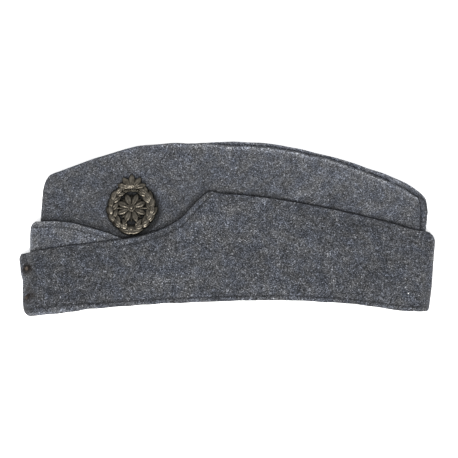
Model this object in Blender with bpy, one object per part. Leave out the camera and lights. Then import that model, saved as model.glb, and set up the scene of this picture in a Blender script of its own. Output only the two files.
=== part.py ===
"""A wool side cap, folded flat and lying on its right side.

X runs from the front of the cap to its rear, Y from the hem up to the ridge, and Z up through the folded
layers. The origin is under the middle of the cap, on the surface that it lies on. Lengths are in metres.

The left and right sides mirror each other about a middle surface. Each layer of cloth is a sheet whose
height over that surface is a field of X and Y, worked out from the layers under it, and the middle
surface is lifted so that the lower side lies flat.
"""

import bmesh
import bpy
import numpy as np
from mathutils import Matrix, Vector

# Whole cap
CAP_LENGTH = 0.300
CAP_HEIGHT = 0.1258
CLEARANCE = 0.0005
HEM_ARCH = 0.012
HEM_THICKNESS = 0.0013
HEAD_SPACE = 0.0115
HEAD_SPACE_FULLNESS = 2.5
FLOOR_CLEARANCE = 0.0003
SAG_RUN = 0.035
SHARP_EDGE_DEGREES = 40.0

# Crown
CROWN_CLOTH = 0.0020
CROWN_FRONT_INSET = 0.0158
CROWN_REAR_INSET = 0.0130
CROWN_FRONT_BOW = 0.0018
CROWN_FRONT_BOW_FADE = 8
TOP_FOLD_DEPTH = 0.026
TOP_FOLD_DEPTH_AT_SEAMS = 0.06
TOP_FOLD_ROUNDING = 0.6
TOP_FOLD_SLOT = 0.0005
TOP_FOLD_SLOT_AT_SEAMS = 0.2
TOP_FOLD_CLOTH_AT_SEAMS = 0.3
TOP_FOLD_RUN = 0.014
SWELL_BLEND = 3

# False peak
PEAK_CLOTH = 0.0026
PEAK_INSET = 0.0079
PEAK_LENGTH = 0.1125
PEAK_RISE = 0.0681
PEAK_TIP = 0.0030
PEAK_CORNER = 0.0041
PEAK_FOLD_GAP = 0.0021
PEAK_STEP_RUN = 0.038
PEAK_CLEARANCE = 0.0008

# Curtain
CURTAIN_CLOTH = 0.0030
CURTAIN_RISE = 0.0901
CURTAIN_FRONT_CORNER = 0.0091
CURTAIN_REAR_CORNER = 0.0054
CURTAIN_FOLD_GAP = 0.0020
CURTAIN_SLIT = 0.00075
FOLD_HOLLOW = 0.0006

# Badge, across its wreath from middle to middle of the leaves
BADGE_ALONG = 0.271
BADGE_UP = 0.0779
BADGE_RADIUS = 0.0148
BADGE_BED_RUN = 0.008
BADGE_STEM = 0.0013
BADGE_STEM_HEIGHT = 0.0010
LEAF_LENGTH = 0.0078
LEAF_WIDTH = 0.0042
LEAF_HEIGHT = 0.0019
LEAF_SPLAY = 24.0
LEAVES_PER_BRANCH = 7
TIE_BOSS = 0.0023
ROSETTE_PETALS = 8
ROSETTE_REACH = 0.0088
ROSETTE_BOSS = 0.0026
PETAL_WIDTH = 0.0037
PALMETTE_LOBES = 5
PALMETTE_REACH = 0.0090
PALMETTE_SIDE_REACH = 0.0080
PALMETTE_LOBE_WIDTH = 0.0035
PALMETTE_SPREAD = 100.0
PALMETTE_BOSS = 0.0021
BAR_WIDTH = 0.0016
BAR_HEIGHT = 0.0007
LUG_WIRE = 0.0006
LUG_WIDTH = 0.0034
PIN_RADIUS = 0.0006
PIN_LENGTH = 0.040

# Lumps of thread at the front
KNOT_RADIUS = 0.0024
KNOT_HEIGHT = 0.0016
KNOT_INSET = 0.0066
KNOT_UPPER_UP = 0.0345
KNOT_LOWER_UP = 0.0145

# Counts of the mesh
CROWN_STATIONS = 26
STATION_CROWDING = 0.55
WALL_ROWS = 14
FOLD_ROWS = 4
FLAP_ROWS = 3
NOSE_STEPS = 9
KNOT_SIDES = 12
RING_SIDES = 36
BOSS_SIDES = 8
PIN_SIDES = 8
LUG_BEND_STEPS = 7


def columns(names, rows):
    """The rows of a table as one array for each named column."""
    return dict(zip(names.split(), np.array(rows, float).T))


# Ridges of both halves, front to rear: shares of the cap's length and height
RIDGE = columns(
    "left_along left_up right_along right_up",
    (
        (0.057, 0.722, 0.058, 0.720),
        (0.062, 0.768, 0.063, 0.765),
        (0.074, 0.809, 0.075, 0.804),
        (0.098, 0.832, 0.098, 0.826),
        (0.146, 0.875, 0.146, 0.867),
        (0.218, 0.932, 0.218, 0.924),
        (0.291, 0.977, 0.291, 0.970),
        (0.363, 0.991, 0.363, 0.985),
        (0.435, 0.993, 0.435, 0.994),
        (0.507, 0.983, 0.507, 1.000),
        (0.580, 0.975, 0.580, 0.995),
        (0.652, 0.951, 0.652, 0.969),
        (0.748, 0.902, 0.748, 0.915),
        (0.845, 0.821, 0.845, 0.845),
        (0.917, 0.748, 0.919, 0.776),
        (0.953, 0.691, 0.960, 0.711),
        (0.969, 0.648, 0.975, 0.659),
        (0.973, 0.602, 0.980, 0.590),
    ),
)

# Lower edge of the cap: shares of its length and of the hem's arch
HEM = columns(
    "along lift",
    (
        (0.026, 0.00),
        (0.098, 0.21),
        (0.170, 0.44),
        (0.242, 0.63),
        (0.339, 0.78),
        (0.435, 0.89),
        (0.531, 0.97),
        (0.604, 1.00),
        (0.676, 0.97),
        (0.748, 0.87),
        (0.821, 0.71),
        (0.893, 0.45),
        (0.941, 0.32),
        (0.982, 0.31),
    ),
)

# Upper edge of the curtain: shares of the cap's length and of the curtain's rise
CURTAIN_EDGE = columns(
    "along rise",
    (
        (0.001, 0.503),
        (0.074, 0.555),
        (0.146, 0.587),
        (0.218, 0.615),
        (0.278, 0.639),
        (0.315, 0.671),
        (0.339, 0.699),
        (0.363, 0.739),
        (0.387, 0.788),
        (0.411, 0.872),
        (0.435, 0.957),
        (0.449, 0.990),
        (0.463, 1.000),
        (0.490, 0.988),
        (0.531, 0.980),
        (0.628, 0.936),
        (0.748, 0.860),
        (0.893, 0.748),
        (0.965, 0.679),
        (0.989, 0.663),
    ),
)

# Front and rear ends of the curtain, seen from the side: shares of its height and of the corner's inset
CURTAIN_FRONT = columns(
    "up inset",
    (
        (0.00, 1.00),
        (0.03, 0.72),
        (0.06, 0.51),
        (0.12, 0.35),
        (0.25, 0.27),
        (0.50, 0.27),
        (0.58, 0.30),
        (0.66, 0.16),
        (0.82, 0.06),
        (0.92, 0.00),
        (1.00, 0.15),
    ),
)
CURTAIN_REAR = columns(
    "up inset",
    (
        (0.00, 1.00),
        (0.03, 0.83),
        (0.12, 0.69),
        (0.33, 0.43),
        (0.54, 0.28),
        (0.74, 0.13),
        (0.92, 0.00),
        (0.96, 0.25),
        (1.00, 0.69),
    ),
)

# Rows of the curtain from the hem to its upper edge: shares of its height, of the hem's thickness that its
# two faces are lifted by, and of its cloth that it loses; the rows in the hem close under the crown's foot
CURTAIN_ROWS = columns(
    "up outer_lift inner_lift thin in_hem",
    (
        (0.00, 0.00, 0.0, 0.40, 1),
        (0.00, 0.40, 0.4, 0.10, 1),
        (0.00, 1.00, 1.0, 0.00, 1),
        (0.00, 1.02, 1.0, 0.00, 0),
        (0.06, 1.00, 1.0, 0.00, 0),
        (0.16, 0.00, 0.0, 0.00, 0),
        (0.30, 0.00, 0.0, 0.00, 0),
        (0.46, 0.00, 0.0, 0.00, 0),
        (0.62, 0.00, 0.0, 0.00, 0),
        (0.78, 0.00, 0.0, 0.00, 0),
        (0.92, 0.00, 0.0, 0.00, 0),
        (0.985, 0.00, 0.0, 0.00, 0),
        (1.00, 0.00, 0.0, 0.38, 0),
    ),
)

# Columns along each side of the curtain and the peak, front to rear: shares of their flat stretch
CURTAIN_COLUMNS = np.array((
    0.0, 0.007, 0.014, 0.021, 0.028, 0.038, 0.055, 0.08, 0.12, 0.17, 0.22, 0.26, 0.295, 0.32, 0.345, 0.37,
    0.39, 0.41, 0.43, 0.45, 0.48, 0.53, 0.60, 0.68, 0.76, 0.84, 0.90, 0.94, 0.965, 0.98, 0.99, 1.0,
))
PEAK_COLUMNS = np.array((
    0.0, 0.012, 0.024, 0.04, 0.07, 0.13, 0.23, 0.34, 0.46, 0.58, 0.69, 0.79, 0.88, 0.95, 1.0,
))

# Rows of the peak from its foot to its upper edge: shares of its height, and of its cloth that it loses
PEAK_ROWS = columns(
    "up thin",
    (
        (0.00, 0.35),
        (0.03, 0.00),
        (0.25, 0.00),
        (0.50, 0.00),
        (0.75, 0.00),
        (0.90, 0.00),
        (0.97, 0.00),
        (1.00, 0.38),
    ),
)

# False peak: its upper edge in shares of its length and rise, its front in shares of its height and corner
PEAK_EDGE = columns(
    "along rise",
    (
        (0.035, 0.995),
        (0.125, 1.000),
        (0.254, 0.984),
        (0.383, 0.931),
        (0.511, 0.867),
        (0.563, 0.835),
        (0.672, 0.751),
        (0.768, 0.640),
        (0.865, 0.490),
        (0.949, 0.330),
        (1.000, 0.245),
    ),
)
PEAK_FRONT = columns(
    "up inset",
    (
        (0.00, 0.95),
        (0.05, 0.45),
        (0.12, 0.14),
        (0.30, 0.00),
        (0.80, 0.00),
        (0.93, 0.10),
        (0.975, 0.42),
        (1.00, 1.00),
    ),
)

# A leaf of the badge, from its stalk to its tip: shares of its length and half its width
LEAF_OUTLINE = columns(
    "along across",
    (
        (0.00, 0.00),
        (0.34, 1.00),
        (0.34, -1.00),
        (0.74, 0.66),
        (0.74, -0.66),
        (1.00, 0.00),
    ),
)
LEAF_MIDRIB_ALONG = 0.5
LEAF_RIM_HEIGHT = 0.45

# A round boss of the badge, and a lump of thread, from their foot inwards: shares of radius and height
BOSS_PROFILE = columns(
    "radius height",
    (
        (1.0, 0.00),
        (1.0, 0.55),
        (0.6, 1.00),
    ),
)
KNOT_PROFILE = columns(
    "radius height",
    (
        (1.00, 0.25),
        (0.96, 0.62),
        (0.75, 1.00),
        (0.45, 0.92),
        (0.15, 0.70),
    ),
)

# Where each piece of the badge starts over the plane of its back: shares of the stem's height
LEAF_LIFTS = ((-1, 0.30), (1, 0.42))
PETAL_LIFT = 0.20
BOSS_LIFT = 0.10
BAR_LIFT = 0.15
LOBE_LIFT = 0.20
LOBE_LIFT_STEP = 0.03
TIE_LIFT = 0.12


def ease(share):
    """A rise from 0 to 1 that starts and ends level."""
    share = np.clip(share, 0.0, 1.0)
    return share * share * (3.0 - 2.0 * share)


def smooth(at, values, where):
    """A curve through (at, values) that never overshoots them, held at its end values outside."""
    where = np.clip(where, at[0], at[-1])
    step = np.diff(at)
    rise = np.diff(values) / step
    slope = np.concatenate((rise[:1], np.zeros(len(rise) - 1), rise[-1:]))
    same_way = np.flatnonzero(rise[:-1] * rise[1:] > 0)
    before, after = rise[same_way], rise[same_way + 1]
    slope[same_way + 1] = 2.0 * before * after / (before + after)
    cell = np.clip(np.searchsorted(at, where, side="right") - 1, 0, len(step) - 1)
    t = (where - at[cell]) / step[cell]
    ends = values[cell] * (1 + 2 * t) * (1 - t) ** 2 + values[cell + 1] * t * t * (3 - 2 * t)
    bends = slope[cell] * t * (1 - t) ** 2 - slope[cell + 1] * t * t * (1 - t)
    return ends + bends * step[cell]


def x_of(share):
    return (share - 0.5) * CAP_LENGTH


def y_of(height):
    """Y of a height over the cap's lowest corner."""
    return height - CAP_HEIGHT / 2


def hem_line(x):
    return y_of(HEM_ARCH * smooth(x_of(HEM["along"]), HEM["lift"], x))


def foot_line(x):
    """The lower edge of the crown and the peak, which stand on the curtain's hem."""
    return hem_line(x) + HEM_THICKNESS + CLEARANCE


def ridge_line(x):
    return y_of(CAP_HEIGHT * smooth(x_of(RIDGE["left_along"]), RIDGE["left_up"], x))


def curtain_line(x):
    return y_of(CURTAIN_RISE * smooth(x_of(CURTAIN_EDGE["along"]), CURTAIN_EDGE["rise"], x))


def peak_line(x):
    along = (x - x_of(0.0) - PEAK_INSET) / PEAK_LENGTH
    drawn = y_of(PEAK_RISE * smooth(PEAK_EDGE["along"], PEAK_EDGE["rise"], along))
    return np.maximum(drawn, foot_line(x) + PEAK_TIP)


def front_bow(share):
    """How far the crown's front edge bows forward at a share of its height."""
    return CROWN_FRONT_BOW * np.sin(np.pi * np.clip(share, 0.0, 1.0))


def crown_front(y):
    """X of the crown's front seam."""
    low = y_of(0.0)
    high = y_of(CAP_HEIGHT * RIDGE["left_up"][0])
    share = np.clip((y - low) / (high - low), 0.0, 1.0)
    foot = x_of(0.0) + CROWN_FRONT_INSET
    return foot + (x_of(RIDGE["left_along"][0]) - foot) * share - front_bow(share)


def crown_rear(y):
    """X of the crown's rear seam."""
    low = y_of(0.0)
    high = y_of(CAP_HEIGHT * RIDGE["left_up"][-1])
    share = np.clip((y - low) / (high - low), 0.0, 1.0)
    foot = x_of(1.0) - CROWN_REAR_INSET
    return foot + (x_of(RIDGE["left_along"][-1]) - foot) * share


def crown_share(x, y):
    """0 at the crown's front seam, 1 at its rear seam."""
    front = crown_front(y)
    return np.clip((x - front) / (crown_rear(y) - front), 0.0, 1.0)


def fold_share(x, y):
    """How fully the top fold is formed: 0 at the front and rear seams, 1 a little way in."""
    share = crown_share(x, y)
    return ease(np.minimum(share, 1.0 - share) * CAP_LENGTH / TOP_FOLD_RUN)


def fold_depth(x, y):
    """How far the centre seam lies below the ridge."""
    arch = np.sin(np.pi * crown_share(x, y)) ** TOP_FOLD_ROUNDING
    return TOP_FOLD_DEPTH * (TOP_FOLD_DEPTH_AT_SEAMS + (1.0 - TOP_FOLD_DEPTH_AT_SEAMS) * arch)


def flap_zone(x, y):
    """1 where the crown's wall covers the folded-in flap, falling to 0 below it."""
    flap_end = ridge_line(x) - fold_depth(x, y) - CROWN_CLOTH
    return ease((y - flap_end + TOP_FOLD_RUN) / TOP_FOLD_RUN)


def loose_swell(x, y):
    """How far each wall would stand off from the middle surface without the badge on it."""
    height = np.clip((y - hem_line(x)) / (ridge_line(x) - hem_line(x)), 0.0, 1.0)
    open_hem = 1.0 - np.abs(2.0 * crown_share(x, y) - 1.0) ** HEAD_SPACE_FULLNESS
    by_head = HEAD_SPACE / 2 * open_hem * (1.0 - height**2)
    by_flap = (CROWN_CLOTH + TOP_FOLD_SLOT) * fold_share(x, y) * flap_zone(x, y)
    return (by_head**SWELL_BLEND + by_flap**SWELL_BLEND) ** (1 / SWELL_BLEND)


def layers_under(x, y):
    """What the middle surface gains from the layers below the crown, less its sag past the curtain."""
    return PEAK_CLEARANCE + peak_rise(x, y) + CURTAIN_CLOTH - sag(x, y)


def loose_top(x, y):
    """Z of the crown's upper face as it would lie without the badge."""
    return 2 * (CLEARANCE / 2 + CROWN_CLOTH + loose_swell(x, y)) + layers_under(x, y)


def badge_reach():
    return BADGE_RADIUS + max(PALMETTE_REACH, LEAF_LENGTH)


def badge_slopes():
    """Z of the crown's upper face at the badge's middle, and its slopes along X and Y across the badge."""
    x, y, reach = x_of(BADGE_ALONG), y_of(BADGE_UP), badge_reach()
    left, right, low, high = (
        loose_top(x + aside * reach, y + above * reach)
        for aside, above in ((-1, 0), (1, 0), (0, -1), (0, 1))
    )
    height = (left + right + low + high) / 8 + loose_top(x, y) / 2
    return height, (right - left) / (2 * reach), (high - low) / (2 * reach)


def crown_swell(x, y):
    """How far each wall stands off from the middle surface, pressed flat where the badge lies on it."""
    height, slope_x, slope_y = badge_slopes()
    aside, above = x - x_of(BADGE_ALONG), y - y_of(BADGE_UP)
    plane = height + slope_x * aside + slope_y * above
    bed = 1.0 - ease((np.hypot(aside, above) - badge_reach()) / BADGE_BED_RUN)
    return loose_swell(x, y) + bed * (plane - loose_top(x, y)) / 2


def flap_cloth(x, y):
    """How thick the folded-in flap is, pressed thin at the seams."""
    return CROWN_CLOTH * (TOP_FOLD_CLOTH_AT_SEAMS + (1.0 - TOP_FOLD_CLOTH_AT_SEAMS) * fold_share(x, y))


def flap_slot(x, y):
    """The room between the flap and the wall over it."""
    return TOP_FOLD_SLOT * (TOP_FOLD_SLOT_AT_SEAMS + (1.0 - TOP_FOLD_SLOT_AT_SEAMS) * fold_share(x, y))


def crown_outer(x, y):
    return CLEARANCE / 2 + CROWN_CLOTH + crown_swell(x, y)


def crown_inner(x, y):
    under_flap = (flap_cloth(x, y) + flap_slot(x, y)) * flap_zone(x, y)
    return CLEARANCE / 2 + np.maximum(crown_swell(x, y), under_flap)


def step_down(field, x, nose_x, full_x, nose_height):
    """A field that falls to the height of a fold's nose as X goes from full_x to nose_x."""
    return nose_height + (field - nose_height) * ease((x - nose_x) / (full_x - nose_x))


def peak_inner(x, y):
    """The underside of the peak, which lies on the crown and closes to a fold ahead of it."""
    nose = x_of(0.0) + PEAK_INSET + PEAK_CLOTH / 2
    front = crown_front(y) - 2 * CLEARANCE
    lying = crown_outer(x, y) + PEAK_CLEARANCE
    return step_down(lying, x, nose, np.maximum(front, nose + CLEARANCE), PEAK_FOLD_GAP)


def peak_rise(x, y):
    """How far the peak lifts the curtain, falling to nothing past its upper edge."""
    return (PEAK_CLOTH + PEAK_CLEARANCE) * ease((peak_line(x) + PEAK_STEP_RUN - y) / PEAK_STEP_RUN)


def curtain_inner(x, y):
    """The underside of the curtain, which lies on the peak and the crown and closes to a fold at each end."""
    over_peak = peak_inner(x, y) + peak_rise(x, y)
    front_nose = x_of(0.0) + CURTAIN_CLOTH + FOLD_HOLLOW
    front_full = x_of(0.0) + PEAK_INSET + PEAK_CLOTH
    lying = step_down(over_peak, x, front_nose, front_full, CURTAIN_FOLD_GAP)
    rear_nose = x_of(1.0) - CURTAIN_CLOTH - FOLD_HOLLOW
    rear_full = crown_rear(y)
    return step_down(lying, -x, -rear_nose, -rear_full, CURTAIN_FOLD_GAP)


def curtain_outer(x, y):
    return curtain_inner(x, y) + CURTAIN_CLOTH


def sag(x, y):
    """How far the crown sinks towards the floor past the curtain's upper edge."""
    free = PEAK_CLEARANCE + CURTAIN_CLOTH - FLOOR_CLEARANCE
    return free * ease((y - curtain_line(x)) / SAG_RUN)


def middle(x, y):
    """Z of the middle surface, which lays the curtain's lower side flat and lets the crown sag past it."""
    return curtain_outer(x, y) - sag(x, y)


def placed(x, y, over_middle, side):
    """Points of a layer: side is 1 for the upper, left side and -1 for the lower, right side."""
    return np.stack((x, y, middle(x, y) + side * over_middle), axis=-1)


def material(name, colour, roughness, metallic=0.0):
    made = bpy.data.materials.new(name)
    made.use_nodes = True
    shader = made.node_tree.nodes["Principled BSDF"]
    shader.inputs["Base Color"].default_value = (*colour, 1.0)
    shader.inputs["Roughness"].default_value = roughness
    shader.inputs["Metallic"].default_value = metallic
    return made


def add_object(name, mesh, finish):
    """A finished mesh as an object, with its faces turned outwards."""
    shape = bmesh.new()
    shape.from_mesh(mesh)
    bmesh.ops.recalc_face_normals(shape, faces=shape.faces)
    shape.to_mesh(mesh)
    shape.free()
    mesh.shade_smooth()
    mesh.set_sharp_from_angle(angle=np.radians(SHARP_EDGE_DEGREES))
    mesh.materials.append(finish)
    made = bpy.data.objects.new(name, mesh)
    bpy.context.scene.collection.objects.link(made)
    return made


def sheet(name, outer, inner, finish):
    """A sheet of cloth between two grids of points, closed along its four edges."""
    rows, across = outer.shape[:2]
    front = np.arange(rows * across).reshape(rows, across)
    back = front + rows * across
    quads = []
    for grid, turned in ((front, False), (back, True)):
        cells = np.stack((grid[:-1, :-1], grid[1:, :-1], grid[1:, 1:], grid[:-1, 1:]), -1)
        quads.append(cells.reshape(-1, 4)[:, ::-1 if turned else 1])
    for edge in (np.s_[0, :], np.s_[-1, :], np.s_[:, 0], np.s_[:, -1]):
        over, under = front[edge], back[edge]
        quads.append(np.stack((over[:-1], over[1:], under[1:], under[:-1]), -1))
    mesh = bpy.data.meshes.new(name)
    points = np.concatenate((outer.reshape(-1, 3), inner.reshape(-1, 3)))
    mesh.from_pydata(points.tolist(), [], np.concatenate(quads).tolist())
    return add_object(name, mesh, finish)


def crown_columns(side):
    """Foot and ridge points of the crown's sections, front to rear, for one half."""
    half = "left" if side > 0 else "right"
    along = x_of(RIDGE[half + "_along"])
    up = y_of(CAP_HEIGHT * RIDGE[half + "_up"])
    walked = np.concatenate(([0.0], np.cumsum(np.hypot(np.diff(along), np.diff(up)))))
    walked /= walked[-1]
    even = np.linspace(0.0, 1.0, CROWN_STATIONS)
    crowded = 0.5 - 0.5 * np.cos(np.pi * even)
    station = even + STATION_CROWDING * (crowded - even)
    ridge = np.stack((smooth(walked, along, station), smooth(walked, up, station)), -1)
    foot_x = x_of(0.0) + CROWN_FRONT_INSET
    foot_x = foot_x + (x_of(1.0) - CROWN_REAR_INSET - foot_x) * station
    foot = np.stack((foot_x, foot_line(foot_x)), -1)
    return station, foot, ridge


def crown_half(name, side, finish):
    """One half of the crown: a wall from the hem to the ridge, the turn over it, and the flap folded in."""
    station, foot, ridge = crown_columns(side)
    length = np.linalg.norm(ridge - foot, axis=1)[:, None]
    way = (ridge - foot)[:, None, :] / length[..., None]

    def at(distance):
        """X and Y at a distance up each section."""
        point = foot[:, None, :] + way * distance[..., None]
        ahead = front_bow(distance / length) * (1.0 - station[:, None]) ** CROWN_FRONT_BOW_FADE
        return point[..., 0] - ahead, point[..., 1]

    turn = (crown_outer(ridge[:, :1], ridge[:, 1:]) - CLEARANCE / 2) / 2
    wall = (length - turn) * np.linspace(0.0, 1.0, WALL_ROWS)
    x, y = at(wall)
    outer = [placed(x, y, crown_outer(x, y), side)]
    inner = [placed(x, y, crown_inner(x, y), side)]

    stack = crown_outer(x[:, -1:], y[:, -1:]) - CLEARANCE / 2
    thin, slot = flap_cloth(x[:, -1:], y[:, -1:]), flap_slot(x[:, -1:], y[:, -1:])
    angle = np.radians(np.linspace(90.0, -90.0, FOLD_ROWS + 2)[1:-1])
    x, y = at(length - turn + turn * np.cos(angle))
    outer.append(placed(x, y, CLEARANCE / 2 + stack / 2 * (1 + np.sin(angle)), side))
    x, y = at(length - turn + slot / 2 * np.cos(angle))
    inner.append(placed(x, y, CLEARANCE / 2 + thin + slot / 2 * (1 + np.sin(angle)), side))

    depth = np.maximum(fold_depth(ridge[:, :1], ridge[:, 1:]), turn + 2 * CLEARANCE)
    x, y = at(length - turn - (depth - turn) * np.linspace(0.0, 1.0, FLAP_ROWS))
    level = np.full_like(x, CLEARANCE / 2)
    outer.append(placed(x, y, level, side))
    inner.append(placed(x, y, level + flap_cloth(x, y), side))
    return sheet(name, np.concatenate(outer, 1), np.concatenate(inner, 1), finish)


def between(low, high, level):
    return low + (high - low) * level


def curtain_path(level, cloth):
    """X and side round the curtain, from its left end at the front fold to its right end there.

    The side goes from 1 on the left through 0 at a fold's tip to -1 on the right.
    """
    front_inset = CURTAIN_FRONT_CORNER * smooth(CURTAIN_FRONT["up"], CURTAIN_FRONT["inset"], level)
    rear_inset = CURTAIN_REAR_CORNER * smooth(CURTAIN_REAR["up"], CURTAIN_REAR["inset"], level)
    reach = CURTAIN_CLOTH + FOLD_HOLLOW
    front = x_of(0.0) + front_inset + reach
    rear = x_of(1.0) - rear_inset - reach
    slit = CURTAIN_SLIT / (CURTAIN_CLOTH + CURTAIN_FOLD_GAP)
    front_turn = np.linspace(slit - np.pi / 2, np.pi / 2, NOSE_STEPS)[:-1]
    rear_turn = np.linspace(np.pi / 2, -np.pi / 2, NOSE_STEPS)[1:-1]
    flat = front + (rear - front) * CURTAIN_COLUMNS
    x = np.concatenate((
        front - (reach - cloth) * np.cos(front_turn),
        flat,
        rear + (reach - cloth) * np.cos(rear_turn),
        flat[::-1],
    ))
    left = np.ones(len(flat))
    return x, np.concatenate((np.sin(front_turn), left, np.sin(rear_turn), -left))


def curtain(finish):
    """The turned-up flap: up the left side from the front, round the rear, and back along the right side."""
    outer, inner = [], []
    for level, outer_lift, inner_lift, thin, in_hem in zip(*CURTAIN_ROWS.values()):
        x, side = curtain_path(level, 0.0)
        y = between(hem_line(x), curtain_line(x), level) + HEM_THICKNESS * outer_lift
        outer.append(placed(x, y, curtain_outer(x, y) - CURTAIN_CLOTH * thin, side))
        x, side = curtain_path(level, CURTAIN_CLOTH)
        y = between(hem_line(x), curtain_line(x), level) + HEM_THICKNESS * inner_lift
        under = crown_inner(x, y) if in_hem else curtain_inner(x, y) + CURTAIN_CLOTH * thin
        inner.append(placed(x, y, under, side))
    return sheet("curtain", np.stack(outer, 1), np.stack(inner, 1), finish)


def peak_path(level, cloth):
    """X and side round the peak, from its left end past the front fold to its right end."""
    inset = PEAK_CORNER * smooth(PEAK_FRONT["up"], PEAK_FRONT["inset"], level)
    reach = PEAK_CLOTH + FOLD_HOLLOW
    front = x_of(0.0) + PEAK_INSET + inset + reach
    rear = x_of(0.0) + PEAK_INSET + PEAK_LENGTH
    turn = np.linspace(np.pi / 2, -np.pi / 2, NOSE_STEPS)[1:-1]
    flat = front + (rear - front) * PEAK_COLUMNS
    x = np.concatenate((flat[::-1], front - (reach - cloth) * np.cos(turn), flat))
    left = np.ones(len(flat))
    return x, np.concatenate((left, np.sin(turn), -left))


def peak(finish):
    """The false peak, turned up round the front of the crown and running out to a point on each side."""
    outer, inner = [], []
    for level, thin in zip(*PEAK_ROWS.values()):
        x, side = peak_path(level, 0.0)
        y = between(foot_line(x), peak_line(x), level)
        outer.append(placed(x, y, peak_inner(x, y) + PEAK_CLOTH * (1.0 - thin), side))
        x, side = peak_path(level, PEAK_CLOTH)
        y = between(foot_line(x), peak_line(x), level)
        inner.append(placed(x, y, peak_inner(x, y) + PEAK_CLOTH * thin, side))
    return sheet("peak", np.stack(outer, 1), np.stack(inner, 1), finish)


def curtain_face(x, y):
    """Z of the curtain's upper face, its front fold included."""
    level = (y - hem_line(x)) / (curtain_line(x) - hem_line(x))
    inset = CURTAIN_FRONT_CORNER * smooth(CURTAIN_FRONT["up"], CURTAIN_FRONT["inset"], level)
    reach = CURTAIN_CLOTH + FOLD_HOLLOW
    front = x_of(0.0) + inset + reach
    over = np.clip((front - x) / reach, 0.0, 1.0)
    return middle(x, y) + curtain_outer(x, y) * np.sqrt(1.0 - over**2)


def knot(name, up, finish):
    """A worn lump of thread: a low dome with a dimple, lying on the curtain close to its front fold."""
    turn = 2 * np.pi * np.arange(KNOT_SIDES) / KNOT_SIDES
    radius = KNOT_RADIUS * KNOT_PROFILE["radius"][:, None]
    x = x_of(0.0) + KNOT_INSET + radius * np.cos(turn)
    y = y_of(up) + radius * np.sin(turn)
    seat = curtain_face(x, y) + CLEARANCE
    over = np.stack((x, y, seat + KNOT_HEIGHT * KNOT_PROFILE["height"][:, None]), -1)
    rings = np.concatenate((np.stack((x, y, seat), -1)[::-1], over))
    grid = np.arange(rings.size // 3).reshape(rings.shape[:2])
    beside = np.roll(grid, -1, axis=1)
    quads = np.stack((grid[:-1], beside[:-1], beside[1:], grid[1:]), -1).reshape(-1, 4)
    mesh = bpy.data.meshes.new(name)
    faces = [*quads.tolist(), grid[0].tolist(), grid[-1].tolist()]
    mesh.from_pydata(rings.reshape(-1, 3).tolist(), [], faces)
    return add_object(name, mesh, finish)


def badge_frame():
    """The badge's place: flat on its bed on the crown, facing the way the bed faces."""
    height, slope_x, slope_y = badge_slopes()
    facing = Vector((-slope_x, -slope_y, 1.0)).normalized()
    right = Vector((1.0, 0.0, slope_x)).normalized()
    frame = Matrix((right, facing.cross(right), facing)).transposed().to_4x4()
    frame.translation = (x_of(BADGE_ALONG), y_of(BADGE_UP), height + CLEARANCE)
    return frame


def hull(name, points):
    """The closed solid round a few points, as a hidden piece of the badge."""
    shape = bmesh.new()
    for point in points:
        shape.verts.new(point)
    bmesh.ops.convex_hull(shape, input=shape.verts)
    bmesh.ops.delete(shape, geom=[vert for vert in shape.verts if not vert.link_faces], context="VERTS")
    bmesh.ops.recalc_face_normals(shape, faces=shape.faces)
    mesh = bpy.data.meshes.new(name)
    shape.to_mesh(mesh)
    shape.free()
    return mesh


def leaf_points(base, direction, length, width, height):
    """A pointed leaf with its midrib raised, from its stalk at base to its tip."""
    along = Vector((np.cos(direction), np.sin(direction), 0.0)) * length
    across = Vector((-np.sin(direction), np.cos(direction), 0.0)) * width / 2
    outline = [base + along * share + across * side for share, side in zip(*LEAF_OUTLINE.values())]
    rim = Vector((0.0, 0.0, height * LEAF_RIM_HEIGHT))
    midrib = base + along * LEAF_MIDRIB_ALONG + Vector((0.0, 0.0, height))
    return [*outline, *(point + rim for point in outline), midrib]


def round_points(centre, radius, height):
    """A low round boss with a smaller top."""
    points = []
    for share, level in zip(*BOSS_PROFILE.values()):
        for turn in range(BOSS_SIDES):
            spoke = ring_point(360.0 * (turn + 0.3) / BOSS_SIDES, radius * share)
            points.append(centre + spoke + Vector((0.0, 0.0, height * level)))
    return points


def bar_points(start, end, width, height):
    along = (end - start).normalized()
    across = Vector((-along.y, along.x, 0.0)) * width / 2
    corners = [start - across, start + across, end - across, end + across]
    return corners + [corner + Vector((0.0, 0.0, height)) for corner in corners]


def ring_point(degrees, radius):
    angle = np.radians(degrees)
    return Vector((radius * np.cos(angle), radius * np.sin(angle), 0.0))


def raised(point, share):
    """A point lifted off the badge's back by a share of its stem's height."""
    return point + Vector((0.0, 0.0, share * BADGE_STEM_HEIGHT))


def wreath_pieces():
    """Points of the leaves of both branches, of the tie at their foot and of the bars to the middle."""
    pieces = []
    for branch in (-1, 1):
        for row in range(LEAVES_PER_BRANCH):
            place = -90.0 + branch * 180.0 * (row + 0.15) / LEAVES_PER_BRANCH
            growing = np.radians(place + branch * 90.0)
            for outward, lift in LEAF_LIFTS:
                splay = -branch * outward * np.radians(LEAF_SPLAY)
                base = raised(ring_point(place, BADGE_RADIUS + outward * BADGE_STEM / 2), lift)
                pieces.append(leaf_points(base, growing + splay, LEAF_LENGTH, LEAF_WIDTH, LEAF_HEIGHT))
    tie = raised(ring_point(-90.0, BADGE_RADIUS), TIE_LIFT)
    pieces.append(round_points(tie, TIE_BOSS, 1.1 * LEAF_HEIGHT))
    for end in (ring_point(0.0, BADGE_RADIUS), ring_point(180.0, BADGE_RADIUS)):
        pieces.append(bar_points(raised(Vector(), BAR_LIFT), raised(end, BAR_LIFT), BAR_WIDTH, BAR_HEIGHT))
    return pieces


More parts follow.
